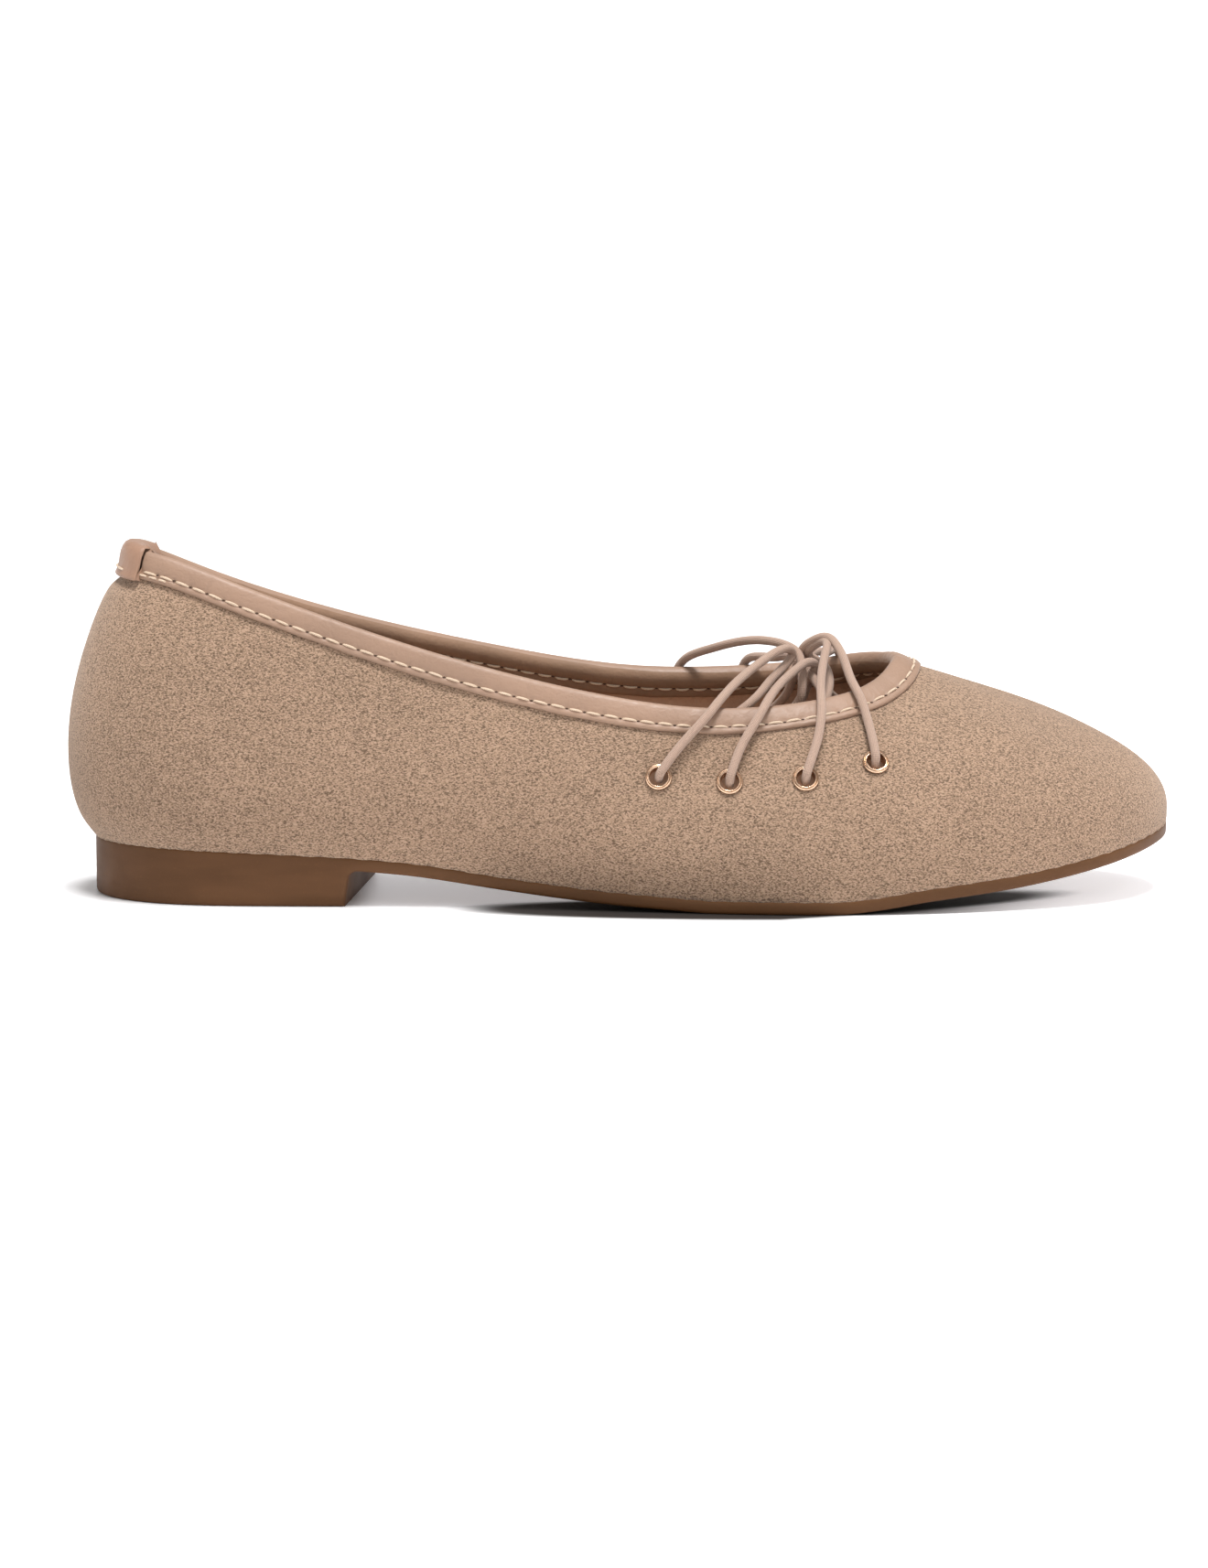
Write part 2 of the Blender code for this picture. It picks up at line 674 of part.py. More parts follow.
def spindle(name, centre, length, diameter, material):
    """A turned barrel along Y with rounded ends."""
    rings = []
    for place, width in ((-0.5, 0.35), (-0.38, 0.75), (-0.15, 1.0), (0.15, 1.0), (0.38, 0.75), (0.5, 0.35)):
        ring = []
        for step in range(CORD_SIDES + 2):
            turn = 2.0 * math.pi * step / (CORD_SIDES + 2)
            ring.append(Vector(centre) + Vector((math.cos(turn) * width * diameter / 2, place * length,
                                                 math.sin(turn) * width * diameter / 2)))
        rings.append(ring)
    return make_object(name, ring_mesh(rings, closed_tube=False), material, 60.0)


def outer_leg(station, below, crossing, free, end):
    """From just outside an eyelet up the wall, over the binding, and through free points."""
    flange = CLEARANCE + EYELET_FLANGE
    lift = CLEARANCE + CORD_RADIUS
    over = BINDING_CREST + lift
    beside = BINDING_OUTER_DEPTH * 1.5

    def along(part):
        return station + (crossing - station) * part

    points = [
        on_wall(station, below, flange + CLEARANCE * 1.5),
        on_wall(along(0.01), below * 0.96, flange + lift * 0.95),
        on_wall(along(0.06), below * 0.86, flange + lift),
        on_wall(along(0.28), below * 0.55 + beside * 0.15, lift + CLEARANCE * 2),
        on_wall(along(0.56), beside * 0.85, over),
        on_wall(along(0.86), 0.0, over + CLEARANCE),
        on_wall(along(0.96), -over * 0.78, over * 0.72),
        on_wall(crossing, -over, over * 0.35),
    ]
    return smooth_route([*points, *[throat_point(spot) for spot in free], end])


def inner_leg(station, below, end):
    """From just inside an eyelet straight to the gather."""
    flange = WALL + CLEARANCE + EYELET_FLANGE
    start = on_wall(station, below, -flange - CLEARANCE * 1.5)
    bend = on_wall(station, below, -flange - CORD_DIAMETER)
    turn = bend + (Vector(end) - bend) * 0.16 + (bend - start) * 0.6
    return smooth_route([start, bend, turn, end])


def build_lace(name, turned, eyelets, rows, material):
    """One side's strands, joined in a bundle beside the knot."""
    away = KNOT_LENGTH / 2 + CLEARANCE + BUNDLE_LENGTH / 2
    centre = throat_point(KNOT_PLACE) + Vector((0.0, away * turned, 0.0))
    lace = spindle(name, centre, BUNDLE_LENGTH, BUNDLE_DIAMETER, material)
    for eyelet, crossing, free in rows:
        station, share = eyelets[eyelet]
        below = share * BACK_HEIGHT
        spread = Vector(((eyelet - 1.5) * CORD_RADIUS * 0.5, 0.0, CORD_RADIUS * 0.5))
        legs = (
            ("outer", outer_leg(station, below, crossing, free, centre + spread)),
            ("inner", inner_leg(station, below, centre - spread)),
        )
        for leg, route in legs:
            strand = cord_tube(f"{name}_{leg}_{eyelet + 1}", route, material)
            strand.hide_render = True
            strand.display_type = "WIRE"
            join = lace.modifiers.new(f"{leg}_{eyelet + 1}", "BOOLEAN")
            join.operation = "UNION"
            join.solver = "EXACT"
            join.object = strand
    return lace


def reset_scene():
    for item in list(bpy.data.objects):
        bpy.data.objects.remove(item)


def build_shoe():
    reset_scene()
    rubber = make_material("outsole_rubber", (0.135, 0.068, 0.036), 0.55)
    suede = make_material("upper_suede", (0.43, 0.295, 0.195), 0.95)
    leather = make_material("binding_leather", (0.50, 0.33, 0.225), 0.45)
    lining = make_material("insole_leather", (0.46, 0.31, 0.21), 0.6)
    elastic = make_material("lace_elastic", (0.46, 0.32, 0.24), 0.8)
    gold = make_material("eyelet_metal", (0.80, 0.62, 0.38), 0.25, 1.0)
    build_outsole(rubber)
    build_insole(lining)
    build_upper(suede)
    build_binding(leather)
    build_heel_tab(leather)
    for side, places in (("lateral", EYELETS_LATERAL), ("medial", EYELETS_MEDIAL)):
        for number, (station, below) in enumerate(places):
            build_eyelet(f"eyelet_{side}_{number + 1}", station, below * BACK_HEIGHT, gold)
    build_lace("lace_lateral", -1.0, EYELETS_LATERAL, LACE_LATERAL, elastic)
    build_lace("lace_medial", 1.0, EYELETS_MEDIAL, LACE_MEDIAL, elastic)
    spindle("lace_knot", throat_point(KNOT_PLACE), KNOT_LENGTH, KNOT_DIAMETER, elastic)


build_shoe()
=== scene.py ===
"""Looks of a women's ballet flat, right shoe: suede upper, leather binding, elastic cords.

All lengths are in metres in the shoe's own frame: +X to the toe, +Y to the inner (medial) side, +Z up.
"""

import math

import bmesh
import bpy
import numpy as np
from mathutils import Matrix, Vector


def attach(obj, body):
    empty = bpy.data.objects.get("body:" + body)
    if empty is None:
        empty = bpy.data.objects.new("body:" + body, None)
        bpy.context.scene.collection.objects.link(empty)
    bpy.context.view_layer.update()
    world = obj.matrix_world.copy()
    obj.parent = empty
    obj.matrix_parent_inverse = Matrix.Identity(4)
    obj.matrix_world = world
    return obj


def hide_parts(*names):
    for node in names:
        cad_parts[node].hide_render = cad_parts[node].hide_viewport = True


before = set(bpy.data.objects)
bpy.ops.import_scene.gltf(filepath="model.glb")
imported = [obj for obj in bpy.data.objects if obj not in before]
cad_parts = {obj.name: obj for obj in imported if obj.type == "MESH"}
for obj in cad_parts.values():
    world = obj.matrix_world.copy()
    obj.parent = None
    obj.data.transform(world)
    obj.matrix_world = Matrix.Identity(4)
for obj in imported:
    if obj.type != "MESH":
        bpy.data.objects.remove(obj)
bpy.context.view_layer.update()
MM = 0.001

# Driving sizes, the same as the solids'
LENGTH = 0.250
BALL_WIDTH = 0.080
BACK_HEIGHT = 0.077
HEEL_HEIGHT = 0.0130
SOLE_THICKNESS = 0.0030
TOE_SPRING = 0.0125
BREAST_ALONG = 0.0648
BREAST_FILLET = 0.0025
BREAST_SLANT = 0.0045
BREAST_SLANT_REACH = 0.0300
HEEL_CENTRE_ALONG = 0.0355
WALL = 0.0018
CLEARANCE = 0.0003
SOLE_LEDGE = 0.0004
INSOLE_THICKNESS = 0.0022
INSOLE_INSET = 0.0006
TAB_WIDTH = 0.0235
CORD_DIAMETER = 0.0020
HEEL_PLATE_LIFT = HEEL_HEIGHT - SOLE_THICKNESS

# The photograph's framing: its width and focal length in pixels, and where the camera stands
PHOTO_WIDTH = 1320.0
FOCAL_LENGTH = 5531.5
SENSOR_WIDTH = 36.0
CAMERA_LIFT = math.radians(7.4)
CAMERA_REACH = 1.150
CAMERA_TARGET = (0.0864, 0.0, 0.0240)

# The throat's station, the drawing of the cords, and the band and stitch rows in millimetres
# below the topline
THROAT_STATION = 12.0
ROUTE_STEP = 0.00055
CORD_SIDES = 18
BAND_DEPTH = 4.7
OUTER_ROW = 3.20
INNER_ROW = 2.10

# Sections of the upper round the last, as shares of the three driving sizes
# foot_along, foot_across, top_along, top_across, top_height, foot_out, foot_up, top_out, top_down
SECTIONS = [
    (0.0275, 0.0000, 0.0612, 0.0000, 1.000, 0.130, 0.080, 0.214, 0.270),
    (0.0440, -0.1650, 0.0715, -0.1080, 0.992, 0.122, 0.084, 0.200, 0.272),
    (0.0865, -0.2780, 0.1040, -0.1720, 0.966, 0.107, 0.092, 0.178, 0.288),
    (0.1500, -0.3280, 0.1640, -0.2260, 0.896, 0.096, 0.105, 0.150, 0.305),
    (0.2600, -0.3400, 0.2640, -0.2760, 0.783, 0.082, 0.115, 0.125, 0.290),
    (0.3800, -0.3600, 0.3800, -0.3160, 0.670, 0.070, 0.120, 0.108, 0.255),
    (0.5000, -0.4250, 0.4960, -0.3420, 0.586, 0.056, 0.122, 0.120, 0.210),
    (0.6080, -0.4850, 0.5920, -0.3400, 0.553, 0.044, 0.124, 0.150, 0.180),
    (0.7120, -0.4980, 0.6705, -0.2960, 0.569, 0.040, 0.128, 0.215, 0.165),
    (0.8120, -0.4540, 0.7185, -0.2160, 0.600, 0.040, 0.138, 0.300, 0.150),
    (0.9080, -0.3500, 0.7425, -0.1260, 0.638, 0.043, 0.149, 0.450, 0.154),
    (0.9720, -0.1850, 0.7527, -0.0450, 0.665, 0.047, 0.160, 0.545, 0.160),
    (0.9985, 0.0350, 0.7556, 0.0250, 0.673, 0.049, 0.166, 0.565, 0.160),
    (0.9800, 0.2450, 0.7537, 0.0950, 0.673, 0.047, 0.160, 0.545, 0.160),
    (0.9280, 0.3900, 0.7445, 0.1750, 0.665, 0.043, 0.149, 0.450, 0.154),
    (0.8420, 0.4820, 0.7205, 0.2520, 0.653, 0.040, 0.138, 0.300, 0.150),
    (0.7360, 0.4940, 0.6725, 0.3160, 0.622, 0.040, 0.128, 0.210, 0.172),
    (0.6280, 0.4300, 0.5930, 0.3440, 0.600, 0.048, 0.124, 0.155, 0.190),
    (0.5200, 0.3380, 0.4960, 0.3380, 0.609, 0.070, 0.122, 0.120, 0.225),
    (0.3920, 0.2850, 0.3800, 0.3120, 0.673, 0.090, 0.120, 0.108, 0.260),
    (0.2640, 0.3000, 0.2640, 0.2740, 0.760, 0.092, 0.118, 0.125, 0.295),
    (0.1520, 0.3200, 0.1640, 0.2240, 0.860, 0.100, 0.106, 0.150, 0.305),
    (0.0865, 0.2720, 0.1040, 0.1710, 0.938, 0.107, 0.092, 0.178, 0.288),
    (0.0440, 0.1620, 0.0715, 0.1080, 0.985, 0.122, 0.084, 0.200, 0.272),
]

# Underside of the sole's plate
# along, heel_lift, toe_lift
SOLE_PROFILE = [
    (0.000, 1.000, 0.000),
    (0.080, 0.975, 0.000),
    (0.243, 0.820, 0.000),
    (0.304, 0.715, 0.000),
    (0.400, 0.390, 0.000),
    (0.450, 0.240, 0.000),
    (0.500, 0.125, 0.000),
    (0.552, 0.045, 0.000),
    (0.588, 0.000, 0.000),
    (0.690, 0.000, 0.000),
    (0.728, 0.000, 0.070),
    (0.770, 0.000, 0.200),
    (0.852, 0.000, 0.400),
    (0.934, 0.000, 0.690),
    (1.000, 0.000, 1.000),
]

# station round the upper in rows of SECTIONS, distance below the topline as a share of BACK_HEIGHT
EYELETS = {"lateral": [(6.38, 0.200), (7.01, 0.209), (7.72, 0.231), (8.48, 0.240)],
           "medial": [(17.63, 0.210), (17.00, 0.214), (16.28, 0.230), (15.53, 0.238)]}

# Each cord loop: the middle of its outer leg on the wall, where it crosses the topline, and its free
# run to the gather and back down inside, in millimetres
# (station, below), crossing station, free points
LOOPS = {"lateral": [
    ((6.60, 7.8), 6.95, [(116.2, -20.5, 49.8), (121.7, -12.0, 53.2), (126.2, -6.0, 55.3),
                         (128.8, -1.6, 54.9), (129.2, -0.4, 53.6), (127.6, -3.2, 51.8),
                         (123.8, -11.0, 48.9), (118.5, -21.0, 44.5)]),
    ((7.15, 8.6), 7.48, [(125.6, -18.5, 48.8), (129.4, -10.5, 51.2), (132.6, -4.2, 52.4),
                         (134.8, -0.6, 51.2), (133.4, -2.0, 49.2), (131.8, -1.6, 45.0),
                         (128.6, -8.0, 40.0), (123.0, -19.0, 35.0)]),
    ((7.96, 9.2), 8.17, [(134.9, -17.0, 50.4), (135.9, -9.8, 54.2), (136.8, -5.0, 56.9),
                         (135.4, -2.0, 56.8), (132.9, 0.4, 54.8), (132.2, 2.0, 53.4),
                         (134.0, 2.2, 52.4), (136.1, -1.2, 51.4), (137.2, -6.5, 49.0),
                         (136.2, -14.5, 45.2)]),
    ((8.64, 8.2), 8.80, [(140.9, -14.0, 51.5), (139.4, -8.2, 55.4), (137.0, -3.9, 58.1),
                         (134.2, -1.0, 57.2), (131.4, 1.4, 55.0), (130.8, 2.6, 52.8),
                         (132.4, 0.8, 50.6), (134.5, -5.2, 47.4), (138.0, -14.5, 42.6)]),
], "medial": [
    ((17.53, 8.0), 17.37, [(112.0, 18.6, 53.3), (118.4, 11.8, 55.5),
                           (123.4, 6.6, 56.1), (127.6, 2.8, 55.5), (130.4, 0.4, 54.0),
                           (131.1, -4.4, 49.8), (130.9, -8.0, 45.6), (130.2, -6.0, 41.0),
                           (129.6, 5.0, 36.6)]),
    ((16.85, 8.0), 16.70, [(125.8, 15.5, 51.3), (129.0, 7.0, 52.6),
                           (130.6, 3.6, 52.0), (129.8, 5.0, 49.2), (128.4, 8.6, 44.2),
                           (124.4, 15.0, 39.0)]),
    ((16.10, 8.0), 15.80, [(133.0, 15.0, 52.0), (132.0, 7.4, 53.2), (130.4, 4.0, 51.8),
                           (131.4, 7.4, 48.2), (131.8, 14.0, 42.8)]),
    ((15.50, 8.0), 15.42, [(137.4, 13.5, 52.6), (134.6, 6.0, 53.7), (132.4, 1.6, 52.6),
                           (133.8, 5.6, 49.6), (136.2, 12.0, 45.4)]),
]}


# Curves and tables

def smooth_loop(values, stations):
    """Values at fractional stations of a closed loop of rows, on a periodic cubic spline."""
    rows = np.asarray(values, float)
    count = len(rows)
    system = np.zeros((count, count))
    for row in range(count):
        system[row, row] = 4.0
        system[row, (row - 1) % count] = 1.0
        system[row, (row + 1) % count] = 1.0
    slopes = np.linalg.solve(system, 3.0 * (np.roll(rows, -1, axis=0) - np.roll(rows, 1, axis=0)))
    place = np.asarray(stations, float) % count
    first = np.floor(place).astype(int) % count
    second = (first + 1) % count
    part = (place - np.floor(place))[:, None]
    rise = part * part * (3.0 - 2.0 * part)
    return (rows[first] * (1.0 - rise) + rows[second] * rise
            + slopes[first] * part * (1.0 - part) ** 2 + slopes[second] * part * part * (part - 1.0))


def steady_curve(places, values, at):
    """Values of a smooth curve through a table that never overshoots its rows."""
    places = np.asarray(places, float)
    values = np.asarray(values, float)
    steps = np.diff(places)
    rates = np.diff(values) / steps
    slopes = np.zeros(len(values))
    for row in range(1, len(values) - 1):
        before, after = rates[row - 1], rates[row]
        if before * after > 0.0:
            slopes[row] = 2.0 * before * after / (before + after)
    slopes[0], slopes[-1] = rates[0], rates[-1]
    at = np.clip(np.asarray(at, float), places[0], places[-1])
    first = np.clip(np.searchsorted(places, at, side="right") - 1, 0, len(steps) - 1)
    step = steps[first]
    part = (at - places[first]) / step
    rise = part * part * (3.0 - 2.0 * part)
    return (values[first] * (1.0 - rise) + values[first + 1] * rise
            + slopes[first] * part * (1.0 - part) ** 2 * step
            + slopes[first + 1] * part * part * (part - 1.0) * step)


def unit(vectors):
    """The vectors at length one."""
    vectors = np.asarray(vectors, float)
    return vectors / np.linalg.norm(vectors, axis=-1, keepdims=True)


def plate_underside(along):
    """Height of the plate's underside at a distance along from the back, without the heel block."""
    table = np.asarray(SOLE_PROFILE)
    heel = steady_curve(table[:, 0], table[:, 1], along / LENGTH) * HEEL_PLATE_LIFT
    toe = steady_curve(table[:, 0], table[:, 2], along / LENGTH) * TOE_SPRING
    return heel + toe


def plate_top(along):
    return plate_underside(along) + SOLE_THICKNESS


def slant(place):
    """How far a row of the sole leans forward on the medial side."""
    return BREAST_SLANT * np.exp(-((place - BREAST_ALONG) / BREAST_SLANT_REACH) ** 2)


# The upper's wall, which every other piece follows

class Wall:
    """The outer face of the upper at a list of stations round the last."""

    fine_rows = 60

    def __init__(self, stations):
        self.stations = np.asarray(stations, float)
        table = np.asarray(SECTIONS)
        spread = 0.02
        here = smooth_loop(table, self.stations)
        before = smooth_loop(table, self.stations - spread)
        after = smooth_loop(table, self.stations + spread)
        self.foot = self.foot_points(here)
        self.top = self.top_points(here)
        self.foot_out = self.side(self.foot_points(before), self.foot_points(after))
        self.top_out = self.side(self.top_points(before), self.top_points(after))
        up = np.array([0.0, 0.0, 1.0])
        foot_guide = (self.foot + self.foot_out * (here[:, 5:6] * BALL_WIDTH)
                      + up * (here[:, 6:7] * BACK_HEIGHT))
        top_guide = (self.top + self.top_out * (here[:, 7:8] * BALL_WIDTH)
                     - up * (here[:, 8:9] * BACK_HEIGHT))
        part = np.linspace(0.0, 1.0, self.fine_rows + 1)[:, None, None]
        curve = ((1 - part) ** 3 * self.foot + 3 * (1 - part) ** 2 * part * foot_guide
                 + 3 * (1 - part) * part ** 2 * top_guide + part ** 3 * self.top)
        self.curve = curve.transpose(1, 0, 2)
        steps = np.linalg.norm(np.diff(self.curve, axis=1), axis=2)
        self.length = np.concatenate([np.zeros((len(steps), 1)), np.cumsum(steps, axis=1)], axis=1)

    @staticmethod
    def foot_points(rows):
        along = rows[:, 0] * LENGTH
        return np.stack([along - HEEL_CENTRE_ALONG, rows[:, 1] * BALL_WIDTH,
                         plate_top(along) + CLEARANCE], axis=1)

    @staticmethod
    def top_points(rows):
        return np.stack([rows[:, 2] * LENGTH - HEEL_CENTRE_ALONG, rows[:, 3] * BALL_WIDTH,
                         rows[:, 4] * BACK_HEIGHT], axis=1)

    @staticmethod
    def side(before, after):
        """Level unit vectors out of the shoe, square to the way round it."""
        ahead = after - before
        return unit(np.stack([ahead[:, 1], -ahead[:, 0], np.zeros(len(ahead))], axis=1))

    def at(self, below):
        """Points at a distance below the topline, one a station; above it the wall runs straight on."""
        below = np.broadcast_to(np.asarray(below, float), (len(self.stations),))
        points = np.empty((len(self.stations), 3))
        for row, depth in enumerate(below):
            total = self.length[row, -1]
            if depth < 0.0:
                rising = self.curve[row, -1] - self.curve[row, -2]
                points[row] = self.curve[row, -1] - unit(rising) * depth
            else:
                for axis in range(3):
                    points[row, axis] = np.interp(total - depth, self.length[row],
                                                  self.curve[row, :, axis])
        return points


class Surface:
    """The outer face with its normals at a fixed list of stations."""

    def __init__(self, stations):
        self.stations = np.asarray(stations, float)
        self.here, self.after, self.before = (Wall(self.stations + shift) for shift in (0.0, 0.03, -0.03))
        self.total = self.here.length[:, -1]

    def at(self, below):
        """Points and unit normals out of the shoe at a depth below the topline."""
        below = np.broadcast_to(np.asarray(below, float), self.stations.shape)
        along = self.after.at(below) - self.before.at(below)
        upward = self.here.at(below - 0.0004) - self.here.at(below + 0.0004)
        return self.here.at(below), unit(np.cross(along, upward))

    def ring(self, below, out):
        """Points out of the face, which is drawn in a little under the heel's tab."""
        point, normal = self.at(below)
        drawn = 1.5 * MM * hills(from_heel(self.stations), 0.0, 1.7) * hills(below, 4.8 * MM, 3.4 * MM)
        out = np.asarray(out, float) - drawn
        return point + normal * np.broadcast_to(out, self.stations.shape)[:, None]


def from_heel(stations):
    """Stations between a place and the middle of the heel, whichever way round is shorter."""
    return np.minimum(stations % len(SECTIONS), len(SECTIONS) - stations % len(SECTIONS))


def on_wall(station, below, out):
    return Surface([station]).ring(below, out)[0]


def topline_run():
    """Distance round the topline from the heel's centre for fine stations, both as arrays."""
    probe = np.linspace(0.0, len(SECTIONS), 2401)
    steps = np.linalg.norm(np.diff(Wall(probe).top, axis=0), axis=1)
    return probe, np.concatenate([[0.0], np.cumsum(steps)])


RUN_STATIONS, RUN_LENGTHS = topline_run()
TOPLINE = float(RUN_LENGTHS[-1])


def station_at(distance):
    """Station at a distance round the topline."""
    return np.interp(np.asarray(distance) % TOPLINE, RUN_LENGTHS, RUN_STATIONS)


def hills(value, centre, width):
    """A soft hill of height one."""
    return np.exp(-((value - centre) / width) ** 2)


def steady_noise(seed, count, smooth):
    """Seeded smooth noise round a closed loop, about -1 to 1."""
    values = np.random.default_rng(seed).standard_normal(count)
    waves = np.fft.rfft(values)
    waves *= np.exp(-(np.arange(len(waves)) / smooth) ** 2)
    waves[0] = 0.0
    values = np.fft.irfft(waves, count)
    return values / np.abs(values).max()


# Mesh helpers

def add_object(name, data):
    item = bpy.data.objects.new(name, data)
    bpy.context.scene.collection.objects.link(item)
    return item


def new_object(name, mesh, material, replaced=(), smooth_angle=None):
    """Link a mesh as a piece that rides on the shoe."""
    mesh.name = name
    mesh.shade_smooth()
    if smooth_angle is not None:
        mesh.set_sharp_from_angle(angle=math.radians(smooth_angle))
    mesh.materials.append(material)
    piece = add_object(name, mesh)
    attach(piece, "root")
    if replaced:
        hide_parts(*replaced)
    return piece


def grid_mesh(rings, closed_tube=True):
    """A mesh from closed rings of points; an open tube gets flat ends."""
    rings = np.asarray(rings, float)
    count, width = rings.shape[:2]
    faces = []
    for row in range(count if closed_tube else count - 1):
        low, high = row * width, ((row + 1) % count) * width
        for column in range(width):
            following = (column + 1) % width
            faces.append((low + column, high + column, high + following, low + following))
    if not closed_tube:
        faces.append(tuple(range(width)))
        faces.append(tuple(range((count - 1) * width, count * width))[::-1])
    return outward_mesh(rings.reshape(-1, 3).tolist(), faces)


def outward_mesh(points, faces):
    """A closed mesh with its faces looking outwards."""
    mesh = bpy.data.meshes.new("shape")
    mesh.from_pydata(points, [], faces)
    work = bmesh.new()
    work.from_mesh(mesh)
    if work.calc_volume(signed=True) < 0.0:
        bmesh.ops.reverse_faces(work, faces=work.faces[:])
    work.to_mesh(mesh)
    work.free()
    return mesh


def formed_mesh(operation, matrix, **sizes):
    """One of bmesh's own shapes, moved by a matrix."""
    work = bmesh.new()
    operation(work, **sizes)
    bmesh.ops.transform(work, matrix=matrix, verts=work.verts[:])
    mesh = bpy.data.meshes.new("shape")
    work.to_mesh(mesh)
    work.free()
    return mesh


def merge_meshes(meshes):
    """One mesh from several."""
    points, faces = [], []
    for mesh in meshes:
        start = len(points)
        points.extend(tuple(vertex.co) for vertex in mesh.vertices)
        faces.extend(tuple(start + index for index in face.vertices) for face in mesh.polygons)
        bpy.data.meshes.remove(mesh)
    merged = bpy.data.meshes.new("merged")
    merged.from_pydata(points, [], faces)
    return merged


def between(place, start, first, end, second):
    """The value at a place on the straight line from first at start to second at end."""
    return (end - place) / (end - start) * first + (place - start) / (end - start) * second


def spread_route(points, step, closed=False, easing=14, calming=36, calm=(7.5, 35.0)):
    """A smooth route by chosen points at an even step, calmest between two distances in millimetres."""
    points = np.asarray(points, float)
    if closed:
        knots = np.vstack([points[-1:], points, points[:2]])
    else:
        knots = np.vstack([2 * points[:1] - points[1:2], points, 2 * points[-1:] - points[-2:-1]])
    fine = []
    for p0, p1, p2, p3 in zip(knots, knots[1:], knots[2:], knots[3:]):
        gaps = [max(np.linalg.norm(b - a), 1e-6) ** 0.5 for a, b in ((p0, p1), (p1, p2), (p2, p3))]
        t0, t1 = 0.0, gaps[0]
        t2 = t1 + gaps[1]
        t3 = t2 + gaps[2]
        for t in np.linspace(t1, t2, 24, endpoint=False):
            a1, a2, a3 = between(t, t0, p0, t1, p1), between(t, t1, p1, t2, p2), between(t, t2, p2, t3, p3)
            b1, b2 = between(t, t0, a1, t2, a2), between(t, t1, a2, t3, a3)
            fine.append(between(t, t1, b1, t2, b2))
    fine.append(fine[0] if closed else points[-1])
    fine = np.asarray(fine)
    run = np.concatenate([[0.0], np.cumsum(np.linalg.norm(np.diff(fine, axis=0), axis=1))])
    count = max(4, int(round(run[-1] / step)))
    places = np.linspace(0.0, run[-1], count + 1)
    if closed:
        places = places[:-1]
    route = np.stack([np.interp(places, run, fine[:, axis]) for axis in range(3)], axis=1)
    for _ in range(easing):
        if closed:
            route = route * 0.5 + (np.roll(route, 1, axis=0) + np.roll(route, -1, axis=0)) * 0.25
        else:
            route[1:-1] = route[1:-1] * 0.5 + (route[:-2] + route[2:]) * 0.25
    first, last = int(calm[0] * MM / step), int(calm[1] * MM / step)
    for _ in range(calming):
        middle = (route[first - 1:last - 1] + route[first + 1:last + 1]) * 0.25
        route[first:last] = route[first:last] * 0.5 + middle
    return route


def tube_mesh(route, radius, sides, closed=False):
    """A round tube along a route, with UVs: round the tube, and millimetres along it.

    The radius is one number, or a list with one for each point of the route.
    """
    count = len(route)
    if closed:
        tangents = unit(np.roll(route, -1, axis=0) - np.roll(route, 1, axis=0))
    else:
        tangents = unit(np.gradient(route, axis=0))
    side = np.array([0.0, 0.0, 1.0])
    if abs(tangents[0] @ side) > 0.9:
        side = np.array([1.0, 0.0, 0.0])
    sides_out = []
    for tangent in tangents:
        side = unit(side - tangent * (side @ tangent))
        sides_out.append(side)
    sides_out = np.asarray(sides_out)
    twist = np.zeros(count)
    if closed:
        last = unit(sides_out[-1] - tangents[0] * (sides_out[-1] @ tangents[0]))
        first = sides_out[0]
        angle = math.atan2(float(np.cross(last, first) @ tangents[0]), float(last @ first))
        twist = np.linspace(0.0, angle, count)
    across = np.cross(tangents, sides_out)
    turn = 2.0 * math.pi * np.arange(sides) / sides
    angles = twist[:, None] + turn[None, :]
    size = np.broadcast_to(radius, count)
    rings = (route[:, None, :]
             + (np.cos(angles) * size[:, None])[:, :, None] * sides_out[:, None, :]
             + (np.sin(angles) * size[:, None])[:, :, None] * across[:, None, :])
    mesh = grid_mesh(rings, closed_tube=closed)
    steps = np.linalg.norm(np.diff(route, axis=0, append=route[:1]), axis=1)
    run = np.concatenate([[0.0], np.cumsum(steps)]) / MM
    layer = mesh.uv_layers.new(name="UVMap")
    for face in mesh.polygons:
        spots = [(index // sides, index % sides) for index in face.vertices]
        wraps = max(s[1] for s in spots) - min(s[1] for s in spots) > 1
        ends = closed and max(s[0] for s in spots) - min(s[0] for s in spots) > 1
        for loop, (row, column) in zip(face.loop_indices, spots):
            u = (column + (sides if wraps and column == 0 else 0)) / sides
            v = run[row + (count if ends and row == 0 else 0)]
            layer.data[loop].uv = (u, v)
    return mesh


# Materials

